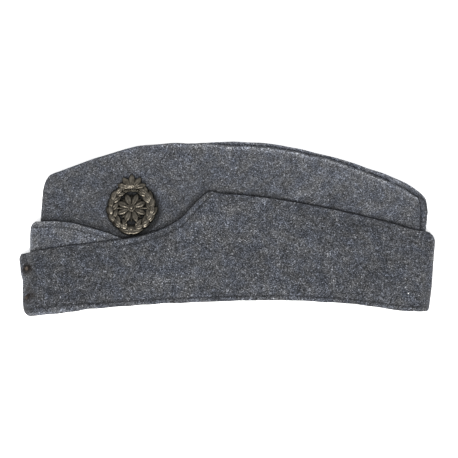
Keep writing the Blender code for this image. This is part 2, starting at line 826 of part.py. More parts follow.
def rosette_pieces():
    """Points of the petals and the boss in the middle of the wreath."""
    pieces = [round_points(raised(Vector(), BOSS_LIFT), ROSETTE_BOSS, 1.3 * LEAF_HEIGHT)]
    for petal in range(ROSETTE_PETALS):
        degrees = 360.0 * (petal + 0.5) / ROSETTE_PETALS
        base = raised(ring_point(degrees, 0.3 * ROSETTE_BOSS), PETAL_LIFT)
        pieces.append(leaf_points(base, np.radians(degrees), ROSETTE_REACH, PETAL_WIDTH, LEAF_HEIGHT))
    return pieces


def palmette_pieces():
    """Points of the fan of lobes and its boss, at the top of the wreath."""
    crest = ring_point(90.0, BADGE_RADIUS)
    pieces = [round_points(raised(crest, BOSS_LIFT), PALMETTE_BOSS, 1.2 * LEAF_HEIGHT)]
    for lobe in range(PALMETTE_LOBES):
        aside = 2 * lobe / (PALMETTE_LOBES - 1) - 1
        length = between(PALMETTE_REACH, PALMETTE_SIDE_REACH, abs(aside))
        base = raised(crest, LOBE_LIFT + LOBE_LIFT_STEP * lobe)
        angle = np.radians(90.0 + aside * PALMETTE_SPREAD / 2)
        pieces.append(leaf_points(base, angle, length, PALMETTE_LOBE_WIDTH, 1.2 * LEAF_HEIGHT))
    return pieces


def pin_depth():
    """How far below the badge's back the middle of the pin lies, just inside the cloth."""
    return 2 * CLEARANCE + CROWN_CLOTH + PIN_RADIUS


def lug_mesh(name, side):
    """A staple of wire under the wreath, its two legs one above the other."""
    half = LUG_WIDTH / 2
    bend = pin_depth() + CLEARANCE + PIN_RADIUS + LUG_WIRE - half
    turn = np.radians(np.linspace(0.0, -180.0, LUG_BEND_STEPS))
    path = [(half, BADGE_STEM_HEIGHT / 2)]
    path += [(half * np.cos(angle), half * np.sin(angle) - bend) for angle in turn]
    path.append((-half, BADGE_STEM_HEIGHT / 2))
    curve = bpy.data.curves.new(name, "CURVE")
    curve.dimensions = "3D"
    curve.bevel_depth = LUG_WIRE
    curve.bevel_resolution = 1
    curve.use_fill_caps = True
    line = curve.splines.new("POLY")
    line.points.add(len(path) - 1)
    for point, (above, out) in zip(line.points, path):
        point.co = (side * BADGE_RADIUS, above, out, 1.0)
    return curve


def hidden(name, data, frame, group):
    made = bpy.data.objects.new(name, data)
    made.matrix_world = frame
    made.hide_render = True
    made.display_type = "WIRE"
    group.objects.link(made)
    return made


def stem_ring():
    """The flat ring that the leaves grow from."""
    shape = bmesh.new()
    rings = []
    for across, up in ((-1, 0), (1, 0), (1, 1), (-1, 1)):
        radius = BADGE_RADIUS + across * BADGE_STEM
        spokes = [ring_point(360.0 * k / RING_SIDES, radius) for k in range(RING_SIDES)]
        rings.append([shape.verts.new(raised(spoke, up)) for spoke in spokes])
    for near, far in zip(rings, rings[1:] + rings[:1]):
        for k in range(RING_SIDES):
            beside = (k + 1) % RING_SIDES
            shape.faces.new((near[k], far[k], far[beside], near[beside]))
    mesh = bpy.data.meshes.new("badge")
    shape.to_mesh(mesh)
    shape.free()
    return mesh


def badge(finish):
    """The wreath on its ring of stem, with all that is soldered to it, as one solid."""
    frame = badge_frame()
    relief = bpy.data.collections.new("badge_relief")
    bpy.context.scene.collection.children.link(relief)
    for number, points in enumerate(wreath_pieces() + rosette_pieces() + palmette_pieces()):
        hidden(f"badge_relief_{number}", hull("badge_relief", points), frame, relief)
    for side, word in ((-1, "left"), (1, "right")):
        name = f"badge_lug_{word}"
        wire = bpy.data.objects.new(name, lug_mesh(name, side))
        solid = bpy.data.meshes.new_from_object(wire)
        bpy.data.objects.remove(wire)
        weld(solid)
        hidden(name, solid, frame, relief)

    made = add_object("badge", stem_ring(), finish)
    made.matrix_world = frame
    union = made.modifiers.new("soldered relief", "BOOLEAN")
    union.operation = "UNION"
    union.operand_type = "COLLECTION"
    union.collection = relief
    union.solver = "EXACT"
    return made


def weld(mesh):
    """Joins the rings of points where a wire's caps meet its sides."""
    shape = bmesh.new()
    shape.from_mesh(mesh)
    bmesh.ops.remove_doubles(shape, verts=shape.verts, dist=0.00001)
    bmesh.ops.recalc_face_normals(shape, faces=shape.faces)
    shape.to_mesh(mesh)
    shape.free()


def badge_pin(finish):
    """The straight pin through both lugs, inside the crown."""
    shape = bmesh.new()
    bmesh.ops.create_cone(
        shape, cap_ends=True, segments=PIN_SIDES, radius1=PIN_RADIUS, radius2=PIN_RADIUS, depth=PIN_LENGTH
    )
    mesh = bpy.data.meshes.new("badge_pin")
    shape.to_mesh(mesh)
    shape.free()
    made = add_object("badge_pin", mesh, finish)
    place = Matrix.Translation((0.0, 0.0, -pin_depth())) @ Matrix.Rotation(np.pi / 2, 4, "Y")
    made.matrix_world = badge_frame() @ place
    return made


def cut_lug_slots(crown):
    """Two slots through the crown's left wall, each a clearance wider than the lug in it."""
    slots = bpy.data.collections.new("badge_slots")
    bpy.context.scene.collection.children.link(slots)
    frame = badge_frame()
    wide = LUG_WIRE + CLEARANCE
    tall = LUG_WIDTH / 2 + wide
    deep = 2 * CROWN_CLOTH + pin_depth()
    for side, word in ((-1, "left"), (1, "right")):
        shape = bmesh.new()
        bmesh.ops.create_cube(shape, size=2.0, matrix=Matrix.Diagonal((wide, tall, deep / 2, 1.0)))
        mesh = bpy.data.meshes.new(f"badge_slot_{word}")
        shape.to_mesh(mesh)
        shape.free()
        place = frame @ Matrix.Translation((side * BADGE_RADIUS, 0.0, -CROWN_CLOTH))
        hidden(f"badge_slot_{word}", mesh, place, slots)
    cut = crown.modifiers.new("slots for the lugs", "BOOLEAN")
    cut.operation = "DIFFERENCE"
    cut.operand_type = "COLLECTION"
    cut.collection = slots
    cut.solver = "EXACT"


def clear_scene():
    for thing in list(bpy.data.objects):
        bpy.data.objects.remove(thing)


def main():
    clear_scene()
    wool = material("blue_grey_wool", (0.098, 0.107, 0.130), 0.95)
    brass = material("darkened_brass", (0.095, 0.085, 0.068), 0.45, 1.0)
    thread = material("brown_thread", (0.10, 0.065, 0.040), 0.9)
    cut_lug_slots(crown_half("crown_left", 1, wool))
    crown_half("crown_right", -1, wool)
    peak(wool)
    curtain(wool)
    badge(brass)
    badge_pin(brass)
    knot("front_knot_upper", KNOT_UPPER_UP, thread)
    knot("front_knot_lower", KNOT_LOWER_UP, thread)


main()
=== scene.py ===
"""The looks of a wool side cap that lies folded flat on its right side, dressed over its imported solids.

X runs from the front of the cap to its rear, Y from the hem up to the ridge, and Z up through the folded
layers. Lengths are in metres. Each layer of cloth is a height over a middle surface, worked out from the
layers under it, and its finished surface adds seams, stitches, soft dents and nap.
"""

import bpy
import numpy as np
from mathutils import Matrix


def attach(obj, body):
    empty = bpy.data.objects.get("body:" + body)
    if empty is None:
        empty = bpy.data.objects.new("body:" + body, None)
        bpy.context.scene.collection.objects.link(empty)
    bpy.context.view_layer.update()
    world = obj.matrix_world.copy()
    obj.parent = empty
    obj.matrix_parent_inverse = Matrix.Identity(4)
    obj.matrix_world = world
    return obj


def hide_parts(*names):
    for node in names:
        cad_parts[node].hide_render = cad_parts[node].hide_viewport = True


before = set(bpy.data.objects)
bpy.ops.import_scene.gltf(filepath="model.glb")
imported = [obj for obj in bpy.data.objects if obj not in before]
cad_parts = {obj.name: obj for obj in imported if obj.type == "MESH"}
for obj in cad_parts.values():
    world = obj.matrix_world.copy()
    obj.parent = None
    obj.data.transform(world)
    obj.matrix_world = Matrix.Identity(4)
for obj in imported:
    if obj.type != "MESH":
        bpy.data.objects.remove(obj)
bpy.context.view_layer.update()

# Sizes of the cap, as its solids have them
CAP_LENGTH = 0.300
CAP_HEIGHT = 0.1258
CLEARANCE = 0.0005
HEM_ARCH = 0.012
HEM_THICKNESS = 0.0013
HEAD_SPACE = 0.0115
HEAD_SPACE_FULLNESS = 2.5
FLOOR_CLEARANCE = 0.0003
SAG_RUN = 0.035
CROWN_CLOTH = 0.0020
CROWN_FRONT_INSET = 0.0158
CROWN_REAR_INSET = 0.0130
CROWN_FRONT_BOW = 0.0018
CROWN_FRONT_BOW_FADE = 8
TOP_FOLD_DEPTH = 0.026
TOP_FOLD_DEPTH_AT_SEAMS = 0.06
TOP_FOLD_ROUNDING = 0.6
TOP_FOLD_SLOT = 0.0005
TOP_FOLD_SLOT_AT_SEAMS = 0.2
TOP_FOLD_CLOTH_AT_SEAMS = 0.3
TOP_FOLD_RUN = 0.014
SWELL_BLEND = 3
PEAK_CLOTH = 0.0026
PEAK_INSET = 0.0079
PEAK_LENGTH = 0.1125
PEAK_RISE = 0.0681
PEAK_TIP = 0.0030
PEAK_CORNER = 0.0041
PEAK_FOLD_GAP = 0.0021
PEAK_STEP_RUN = 0.038
PEAK_CLEARANCE = 0.0008
CURTAIN_CLOTH = 0.0030
CURTAIN_RISE = 0.0901
CURTAIN_FRONT_CORNER = 0.0091
CURTAIN_REAR_CORNER = 0.0054
CURTAIN_FOLD_GAP = 0.0020
CURTAIN_SLIT = 0.00075
FOLD_HOLLOW = 0.0006
BADGE_ALONG = 0.271
BADGE_UP = 0.0779
BADGE_RADIUS = 0.0148
BADGE_BED_RUN = 0.008
BADGE_STEM_HEIGHT = 0.0010
LEAF_LENGTH = 0.0078
PALMETTE_REACH = 0.0090
LUG_WIRE = 0.0006
LUG_WIDTH = 0.0034
PIN_RADIUS = 0.0006
KNOT_RADIUS = 0.0024
KNOT_HEIGHT = 0.0016
KNOT_INSET = 0.0066
KNOT_UPPER_UP = 0.0345
KNOT_LOWER_UP = 0.0145

# Finish of the cloth
STITCH_FROM_HEM = 0.0034
STITCH_EXTRA_AT_FRONT = 0.0022
STITCH_FROM_EDGE = 0.0044
STITCH_FROM_PEAK_EDGE = 0.0040
STITCH_LENGTH = 0.0024
STITCH_PITCH = 0.0031
STITCH_THREAD = 0.00020
GROOVE_WIDTH = 0.0007
GROOVE_DEPTH = 0.00042
PUCKER_WAVE = 0.0085
PUCKER_HEIGHT = 0.00012
PUCKER_REACH = 0.0030
EDGE_ROUNDING = 0.0009
FOLD_SQUARENESS = 0.55
GRAIN_ON_SLOPES = 0.45
EDGE_WANDER = 0.00025
EDGE_WANDER_WAVE = 0.016
DENT_HEIGHT = 0.00022
DENT_WAVE = 0.034
FELT_HEIGHT = 0.00005
FELT_WAVE = 0.0042
KNOT_DIMPLE = 0.0009
KNOT_DIMPLE_REACH = 0.0034
NAP_LENGTH = 0.0028
NAP_RADIUS = 0.000022
NAP_LIFT = 0.00045
NAP_CLEAR_OF_FLOOR = 0.0012
WAVE_COUNT = 14
WAVE_SIZES = (0.7, 1.6)
FELT_WAVE_COUNT = 24
LOWER_SIDE_RELIEF = 0.35
DENT_FREE_EDGE = 0.006
PUCKER_DRIFT = 3.7
SLOPE_STEP = 0.0015
SIDES_DIFFER = 0.4
HEM_WANDER_REACH = 0.004
ROUGH_SHARE_ON_PEAK = 0.6
OUTWARDS = (0.0, 0.0, 1.0)
MILLIMETRE = 0.001
TINY = 1e-12

# Seams: where their puckers start, the depth of those near an upper edge in groove depths, how tall the peak
# is where its seam is fully formed, and how pale by wear and painted highlight the curtain's edge is away
# from its curve
HEM_SEAM_PHASE = 1.0
EDGE_SEAM_PHASE = 4.0
EDGE_SEAM_DEPTH = 0.7
PEAK_SEAM_PHASE = 2.0
PEAK_SEAM_DEPTH = 0.8
PEAK_SEAM_HEIGHT = 0.02
EDGE_WEAR_AND_LIGHT_AWAY_FROM_CURVE = 0.25

# Seeds of the random draws
SEED_CROWN_DENTS = 11
SEED_CURTAIN_DENTS = 23
SEED_PEAK_DENTS = 37
SEED_RIDGE_WANDER = 61
SEED_HEM_WANDER = 71
SEED_CREVICE = 81
SEED_RUBBING = 83
SEED_STITCHES = 5
SEED_WREATH = 8

# Where something begins or ends along the cap, and over how long a way: shares of its length
FRONT_END = (0.09, 0.15)
CURVE_START = (0.22, 0.05)
CURVE_END = (0.455, 0.025)
EDGE_LINE_END = (0.445, 0.03)
DEEP_SHADE_END = (0.42, 0.05)

# Lines of wear, painted light, painted shade and grime: the strength of each, its width, and how far it lies
# from what it follows
LINES = {
    # Wear: the ridge and fold rubbed pale
    "crown ridge": (0.75, 0.0007, 0.0),
    "crown fold": (1.65, 0.08, 0.43),
    # Painted rim light and fuzz along the crown's front seam
    "crown front": (0.75, 0.0022, 0.0),
    # Painted shade: a dark line down the crown's rear seam
    "crown rear": (1.0, 0.0013, 0.0),
    # Painted rim light and fuzz inside the crown's rear seam
    "crown rear inside": (0.85, 0.0040, 0.0),
    # Painted shade inside the crown, beside the near half's rear edge
    "crown under edge": (0.9, 0.0011, 0.0001),
    # Painted rim light and fuzz at the curtain's ends
    "curtain front": (0.75, 0.0023, 0.0),
    "curtain rear": (0.50, 0.0023, 0.0),
    # Painted highlight and wear on the curtain's upper lip
    "curtain edge": (0.20, 0.0014, 0.0018),
    # Grime and painted shade in the stitched grooves of the hem and upper edge
    "curtain hem": (0.7, 0.0007, 0.0),
    "curtain edge seam": (0.8, 0.0007, 0.0),
    # Painted rim light and fuzz along the peak's front
    "peak front": (0.60, 0.0024, 0.0),
    # Painted highlight and wear on the peak's upper lip
    "peak edge": (0.35, 0.0012, 0.0006),
    # Grime and painted shade in the peak's stitched groove
    "peak seam": (0.7, 0.0008, 0.0),
}


def columns(names, rows):
    """The rows of a table as one array for each named column."""
    return dict(zip(names.split(), np.array(rows, float).T))


# Ridges of both halves, front to rear: shares of the cap's length and height
RIDGE = columns(
    "left_along left_up right_along right_up",
    (
        (0.057, 0.722, 0.058, 0.720), (0.062, 0.768, 0.063, 0.765), (0.074, 0.809, 0.075, 0.804),
        (0.098, 0.832, 0.098, 0.826), (0.146, 0.875, 0.146, 0.867), (0.218, 0.932, 0.218, 0.924),
        (0.291, 0.977, 0.291, 0.970), (0.363, 0.991, 0.363, 0.985), (0.435, 0.993, 0.435, 0.994),
        (0.507, 0.979, 0.507, 1.001), (0.580, 0.973, 0.580, 0.997), (0.652, 0.949, 0.652, 0.971),
        (0.748, 0.898, 0.748, 0.918), (0.845, 0.815, 0.845, 0.845), (0.914, 0.744, 0.921, 0.775),
        (0.944, 0.701, 0.963, 0.714), (0.959, 0.678, 0.979, 0.668), (0.9645, 0.598, 0.983, 0.598),
    ),
)

# Lower edge of the cap: shares of its length and of the hem's arch
HEM = columns(
    "along lift",
    (
        (0.026, 0.00), (0.098, 0.21), (0.170, 0.44), (0.242, 0.63), (0.339, 0.78), (0.435, 0.89),
        (0.531, 0.97), (0.604, 1.00), (0.676, 0.97), (0.748, 0.87), (0.821, 0.71), (0.893, 0.45),
        (0.941, 0.32), (0.982, 0.31),
    ),
)

# Upper edge of the curtain: shares of the cap's length and of the curtain's rise
CURTAIN_EDGE = columns(
    "along rise",
    (
        (0.001, 0.497), (0.074, 0.543), (0.146, 0.575), (0.218, 0.604), (0.278, 0.632), (0.315, 0.663),
        (0.339, 0.691), (0.363, 0.730), (0.387, 0.779), (0.411, 0.861), (0.435, 0.942), (0.449, 0.982),
        (0.462, 0.998), (0.471, 0.993), (0.481, 0.984), (0.490, 0.981), (0.531, 0.971), (0.628, 0.931),
        (0.748, 0.858), (0.893, 0.746), (0.965, 0.684), (0.979, 0.681), (0.990, 0.669),
    ),
)

# Front and rear ends of the curtain, seen from the side: shares of its height and of the corner's inset
CURTAIN_FRONT = columns(
    "up inset",
    (
        (0.00, 0.85), (0.03, 0.58), (0.06, 0.43), (0.12, 0.33), (0.25, 0.27), (0.47, 0.27),
        (0.55, 0.28), (0.61, 0.22), (0.69, 0.12), (0.82, 0.06), (0.92, 0.00), (1.00, 0.15),
    ),
)
CURTAIN_REAR = columns(
    "up inset",
    (
        (0.00, 1.00), (0.03, 0.83), (0.12, 0.69), (0.33, 0.43), (0.54, 0.28), (0.74, 0.13),
        (0.89, 0.00), (0.94, 0.14), (0.975, 0.38), (1.00, 0.75),
    ),
)

# False peak: its upper edge in shares of its length and rise, its front in shares of its height and corner
PEAK_EDGE = columns(
    "along rise",
    (
        (0.035, 1.003), (0.125, 1.009), (0.254, 0.994), (0.383, 0.941), (0.511, 0.877), (0.563, 0.844),
        (0.672, 0.758), (0.768, 0.640), (0.865, 0.490), (0.949, 0.330), (1.000, 0.245),
    ),
)
PEAK_FRONT = columns(
    "up inset",
    (
        (0.00, 0.95), (0.05, 0.45), (0.12, 0.14), (0.30, 0.00), (0.80, 0.00), (0.93, 0.10),
        (0.975, 0.42), (1.00, 1.00),
    ),
)


def ease(share):
    """A rise from 0 to 1 that starts and ends level: 3 s^2 - 2 s^3."""
    share = np.clip(share, 0.0, 1.0)
    return share * share * (3.0 - 2.0 * share)


def lifted_from(low, share):
    """From low at a share of 0 to 1 at a share of 1."""
    return low + (1.0 - low) * share


def rises(value, start, run, low=0.0):
    """A value's way from low, at its start, to 1, a run further on."""
    return lifted_from(low, ease((value - start) / run))


def bell(distance, width):
    """1 at no distance, falling off as exp(-(distance / width)^2)."""
    return np.exp(-((distance / width) ** 2))


def line_mark(place, distance):
    """How strong one of the lines in LINES is at a distance from what it follows: wear, painted light,
    painted shade and grime.
    """
    strength, width, offset = LINES[place]
    return strength * bell(distance - offset, width)


def unit(vectors):
    """The vectors at a length of 1."""
    return vectors / np.maximum(np.linalg.norm(vectors, axis=-1, keepdims=True), TINY)


def walk(*axes):
    """The length walked at each point of a path, from its coordinates along each axis."""
    return np.concatenate(([0.0], np.cumsum(np.linalg.norm([np.diff(axis) for axis in axes], axis=0))))


def smooth(at, values, where):
    """A cubic through (at, values) that never overshoots: its slopes are harmonic means beside each point."""
    where = np.clip(where, at[0], at[-1])
    step = np.diff(at)
    rise = np.diff(values) / step
    slope = np.concatenate((rise[:1], np.zeros(len(rise) - 1), rise[-1:]))
    same_way = np.flatnonzero(rise[:-1] * rise[1:] > 0)
    before, after = rise[same_way], rise[same_way + 1]
    slope[same_way + 1] = 2.0 * before * after / (before + after)
    cell = np.clip(np.searchsorted(at, where, side="right") - 1, 0, len(step) - 1)
    t = (where - at[cell]) / step[cell]
    ends = values[cell] * (1 + 2 * t) * (1 - t) ** 2 + values[cell + 1] * t * t * (3 - 2 * t)
    bends = slope[cell] * t * (1 - t) ** 2 - slope[cell + 1] * t * t * (1 - t)
    return ends + bends * step[cell]


def waves(x, y, length, seed, count=WAVE_COUNT):
    """Soft unevenness between about -1 and 1: a mean of sines of X and Y, each along a random direction."""
    draw = np.random.default_rng(seed)
    turn = draw.uniform(0.0, np.pi, count)
    size = length * draw.uniform(*WAVE_SIZES, count)
    start = draw.uniform(0.0, 2 * np.pi, count)
    along = (x[..., None] * np.cos(turn) + y[..., None] * np.sin(turn)) / size
    return np.sin(2 * np.pi * along + start).sum(-1) / np.sqrt(2.0 * count)


def x_of(share):
    """X of a share of the cap's length."""
    return (share - 0.5) * CAP_LENGTH


def share_of(x):
    """The share of the cap's length that lies ahead of X."""
    return x / CAP_LENGTH + 0.5


def y_of(height):
    """Y of a height over the cap's lowest corner."""
    return height - CAP_HEIGHT / 2


def hem_line(x):
    return y_of(HEM_ARCH * smooth(x_of(HEM["along"]), HEM["lift"], x))


def foot_line(x):
    """The lower edge of the crown and the peak, which stand on the curtain's hem."""
    return hem_line(x) + HEM_THICKNESS + CLEARANCE


def ridge_line(x):
    return y_of(CAP_HEIGHT * smooth(x_of(RIDGE["left_along"]), RIDGE["left_up"], x))


def curtain_line(x):
    return y_of(CURTAIN_RISE * smooth(x_of(CURTAIN_EDGE["along"]), CURTAIN_EDGE["rise"], x))


def peak_line(x):
    along = (x - x_of(0.0) - PEAK_INSET) / PEAK_LENGTH
    drawn = y_of(PEAK_RISE * smooth(PEAK_EDGE["along"], PEAK_EDGE["rise"], along))
    return np.maximum(drawn, foot_line(x) + PEAK_TIP)


def front_bow(share):
    """How far the crown's front edge bows forward at a share of its height."""
    return CROWN_FRONT_BOW * np.sin(np.pi * np.clip(share, 0.0, 1.0))


def crown_end(y, row, foot):
    """X of one end of the crown, straight from its foot to that end of the ridge, and how far up it is."""
    low = y_of(0.0)
    high = y_of(CAP_HEIGHT * RIDGE["left_up"][row])
    share = np.clip((y - low) / (high - low), 0.0, 1.0)
    return foot + (x_of(RIDGE["left_along"][row]) - foot) * share, share


def crown_front(y):
    """X of the crown's front seam, which bows forward."""
    x, share = crown_end(y, 0, x_of(0.0) + CROWN_FRONT_INSET)
    return x - front_bow(share)


def crown_rear(y):
    """X of the crown's rear seam."""
    return crown_end(y, -1, x_of(1.0) - CROWN_REAR_INSET)[0]


def crown_share(x, y):
    """0 at the crown's front seam, 1 at its rear seam."""
    front = crown_front(y)
    return np.clip((x - front) / (crown_rear(y) - front), 0.0, 1.0)


def fold_share(x, y):
    """How fully the top fold is formed: 0 at the front and rear seams, 1 a little way in."""
    share = crown_share(x, y)
    return ease(np.minimum(share, 1.0 - share) * CAP_LENGTH / TOP_FOLD_RUN)


def fold_depth(x, y):
    """How far the centre seam lies below the ridge."""
    arch = np.sin(np.pi * crown_share(x, y)) ** TOP_FOLD_ROUNDING
    return TOP_FOLD_DEPTH * lifted_from(TOP_FOLD_DEPTH_AT_SEAMS, arch)


def flap_zone(x, y):
    """1 where the crown's wall covers the folded-in flap, falling to 0 below it."""
    flap_end = ridge_line(x) - fold_depth(x, y) - CROWN_CLOTH
    return ease((y - flap_end + TOP_FOLD_RUN) / TOP_FOLD_RUN)


def loose_swell(x, y):
    """How far each wall would stand off from the middle surface without the badge on it."""
    height = np.clip((y - hem_line(x)) / (ridge_line(x) - hem_line(x)), 0.0, 1.0)
    open_hem = 1.0 - np.abs(2.0 * crown_share(x, y) - 1.0) ** HEAD_SPACE_FULLNESS
    by_head = HEAD_SPACE / 2 * open_hem * (1.0 - height**2)
    by_flap = (CROWN_CLOTH + TOP_FOLD_SLOT) * fold_share(x, y) * flap_zone(x, y)
    return (by_head**SWELL_BLEND + by_flap**SWELL_BLEND) ** (1 / SWELL_BLEND)


def layers_under(x, y):
    """What the middle surface gains from the layers below the crown, less its sag past the curtain."""
    return PEAK_CLEARANCE + peak_rise(x, y) + CURTAIN_CLOTH - sag(x, y)


def loose_top(x, y):
    """Z of the crown's upper face as it would lie without the badge."""
    return 2 * (CLEARANCE / 2 + CROWN_CLOTH + loose_swell(x, y)) + layers_under(x, y)


def badge_reach():
    return BADGE_RADIUS + max(PALMETTE_REACH, LEAF_LENGTH)


def badge_slopes():
    """Z of the crown's upper face at the badge's middle, and its slopes along X and Y across the badge."""
    x, y, reach = x_of(BADGE_ALONG), y_of(BADGE_UP), badge_reach()
    left, right, low, high = (
        loose_top(x + aside * reach, y + above * reach)
        for aside, above in ((-1, 0), (1, 0), (0, -1), (0, 1))
    )
    height = (left + right + low + high) / 8 + loose_top(x, y) / 2
    return height, (right - left) / (2 * reach), (high - low) / (2 * reach)


def crown_swell(x, y):
    """How far each wall stands off from the middle surface, pressed flat where the badge lies on it."""
    height, slope_x, slope_y = badge_slopes()
    aside, above = x - x_of(BADGE_ALONG), y - y_of(BADGE_UP)
    plane = height + slope_x * aside + slope_y * above
    bed = 1.0 - ease((np.hypot(aside, above) - badge_reach()) / BADGE_BED_RUN)
    return loose_swell(x, y) + bed * (plane - loose_top(x, y)) / 2


def flap_cloth(x, y):
    """How thick the folded-in flap is, pressed thin at the seams."""
    return CROWN_CLOTH * lifted_from(TOP_FOLD_CLOTH_AT_SEAMS, fold_share(x, y))


def flap_slot(x, y):
    """The room between the flap and the wall over it."""
    return TOP_FOLD_SLOT * lifted_from(TOP_FOLD_SLOT_AT_SEAMS, fold_share(x, y))


def crown_outer(x, y):
    return CLEARANCE / 2 + CROWN_CLOTH + crown_swell(x, y)


def crown_inner(x, y):
    under_flap = (flap_cloth(x, y) + flap_slot(x, y)) * flap_zone(x, y)
    return CLEARANCE / 2 + np.maximum(crown_swell(x, y), under_flap)


def step_down(field, x, nose_x, full_x, nose_height):
    """A field that falls to the height of a fold's nose as X goes from full_x to nose_x."""
    return nose_height + (field - nose_height) * ease((x - nose_x) / (full_x - nose_x))


def peak_inner(x, y):
    """The underside of the peak, which lies on the crown and closes to a fold ahead of it."""
    nose = x_of(0.0) + PEAK_INSET + PEAK_CLOTH / 2
    front = crown_front(y) - 2 * CLEARANCE
    lying = crown_outer(x, y) + PEAK_CLEARANCE
    return step_down(lying, x, nose, np.maximum(front, nose + CLEARANCE), PEAK_FOLD_GAP)


def peak_rise(x, y):
    """How far the peak lifts the curtain, falling to nothing past its upper edge."""
    return (PEAK_CLOTH + PEAK_CLEARANCE) * ease((peak_line(x) + PEAK_STEP_RUN - y) / PEAK_STEP_RUN)


def curtain_inner(x, y):
    """The underside of the curtain, which lies on the peak and the crown and closes to a fold at each end."""
    over_peak = peak_inner(x, y) + peak_rise(x, y)
    front_nose = x_of(0.0) + CURTAIN_CLOTH + FOLD_HOLLOW
    front_full = x_of(0.0) + PEAK_INSET + PEAK_CLOTH
    lying = step_down(over_peak, x, front_nose, front_full, CURTAIN_FOLD_GAP)
    rear_nose = x_of(1.0) - CURTAIN_CLOTH - FOLD_HOLLOW
    return step_down(lying, -x, -rear_nose, -crown_rear(y), CURTAIN_FOLD_GAP)


def curtain_outer(x, y):
    return curtain_inner(x, y) + CURTAIN_CLOTH


def sag(x, y):
    """How far the crown sinks towards the floor past the curtain's upper edge."""
    free = PEAK_CLEARANCE + CURTAIN_CLOTH - FLOOR_CLEARANCE
    return free * ease((y - curtain_line(x)) / SAG_RUN)


def middle(x, y):
    """Z of the middle surface, which lays the curtain's lower side flat and lets the crown sag past it."""
    return curtain_outer(x, y) - sag(x, y)


def placed(x, y, over_middle, side):
    """Points of a layer, none below the floor: side is 1 for the upper, left one and -1 for the right one."""
    return np.stack((x, y, np.maximum(middle(x, y) + side * over_middle, 0.0)), axis=-1)


def relief(side):
    """1 on the upper side, and less on the lower one, which is pressed flat by the floor."""
    return lifted_from(LOWER_SIDE_RELIEF, side > 0)


def unevenness(x, y, side, seed):
    """Soft dents and the felt's own fine lumps, as a height added to the cloth's outer face."""
    dents = DENT_HEIGHT * waves(x, y, DENT_WAVE, seed)
    felt = FELT_HEIGHT * waves(x, y, FELT_WAVE, seed + 1, FELT_WAVE_COUNT)
    return (dents + felt) * relief(side)


def round_off(distance, radius, drop):
    """What a rounded edge takes off within the radius: drop (1 - sqrt(1 - (1 - distance / radius)^2))."""
    inside = np.clip(1.0 - distance / radius, 0.0, 1.0)
    return drop * (1.0 - np.sqrt(1.0 - inside**2))


def seam_dip(distance, run, seed):
    """The groove of a stitched seam at no distance: its depth, and the puckers that die out beside it."""
    groove = GROOVE_DEPTH * bell(distance, GROOVE_WIDTH)
    pull = np.sin(2 * np.pi * run / PUCKER_WAVE + 2.0 * np.sin(run / (PUCKER_DRIFT * PUCKER_WAVE) + seed))
    return groove + PUCKER_HEIGHT * pull * bell(distance, PUCKER_REACH)


def stray(x, seed):
    """How far an edge strays from its drawn line: soft waves along X."""
    return EDGE_WANDER * waves(x, 0 * x, EDGE_WANDER_WAVE, seed)


def circle(sides):
    """The angles of the corners of a ring."""
    return 2 * np.pi * np.arange(sides) / sides


def outward(grid):
    """Unit normals of a grid of points: the cross product of its differences along rows and columns."""
    across = np.gradient(grid, axis=1)
    along = np.gradient(grid, axis=0)
    return unit(np.cross(along, across))


def cells_of(grid):
    """Corner numbers of the four-sided cells of a grid of point numbers."""
    return np.stack((grid[:-1, :-1], grid[1:, :-1], grid[1:, 1:], grid[:-1, 1:]), -1).reshape(-1, 4)


def signed_volume(points, quads):
    """The sum of a . (b x c) / 6 over both triangles of each quad: negative if the faces point inwards."""
    a, b, c, d = (points[quads[:, k]] for k in range(4))
    return (a * (np.cross(b, c) + np.cross(c, d))).sum() / 6.0


def mesh_piece(name, points, quads, finish, marks=None):
    """An object of quads, with a number for each point under each name in marks, riding on the cap."""
    if signed_volume(points, quads) < 0:
        quads = quads[:, ::-1]
    mesh = bpy.data.meshes.new(name)
    mesh.vertices.add(len(points))
    mesh.vertices.foreach_set("co", points.astype(np.float32).ravel())
    mesh.loops.add(quads.size)
    mesh.loops.foreach_set("vertex_index", quads.astype(np.int32).ravel())
    mesh.polygons.add(len(quads))
    mesh.polygons.foreach_set("loop_start", np.arange(0, quads.size, 4, dtype=np.int32))
    mesh.polygons.foreach_set("use_smooth", np.ones(len(quads), bool))
    for mark, values in (marks or {}).items():
        kind, field = ("FLOAT", "value") if values.ndim == 1 else ("FLOAT_VECTOR", "vector")
        layer = mesh.attributes.new(mark, kind, "POINT")
        layer.data.foreach_set(field, values.astype(np.float32).ravel())
    mesh.update(calc_edges=True)
    mesh.validate()
    mesh.materials.append(finish)
    made = bpy.data.objects.new(name, mesh)
    bpy.context.scene.collection.objects.link(made)
    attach(made, "root")
    return made


def closed_sheet(outer, inner):
    """Points and quads of a sheet: the outer grid, the inner one turned over, and a strip along each edge."""
    rows, across = outer.shape[:2]
    front = np.arange(rows * across).reshape(rows, across)
    back = front + rows * across
    quads = [cells_of(front), cells_of(back)[:, ::-1]]
    for edge, turned in ((np.s_[0, :], 1), (np.s_[-1, :], -1), (np.s_[:, 0], -1), (np.s_[:, -1], 1)):
        over, under = front[edge][::turned], back[edge][::turned]
        quads.append(np.stack((over[:-1], over[1:], under[1:], under[:-1]), -1))
    return np.concatenate((outer.reshape(-1, 3), inner.reshape(-1, 3))), np.concatenate(quads)


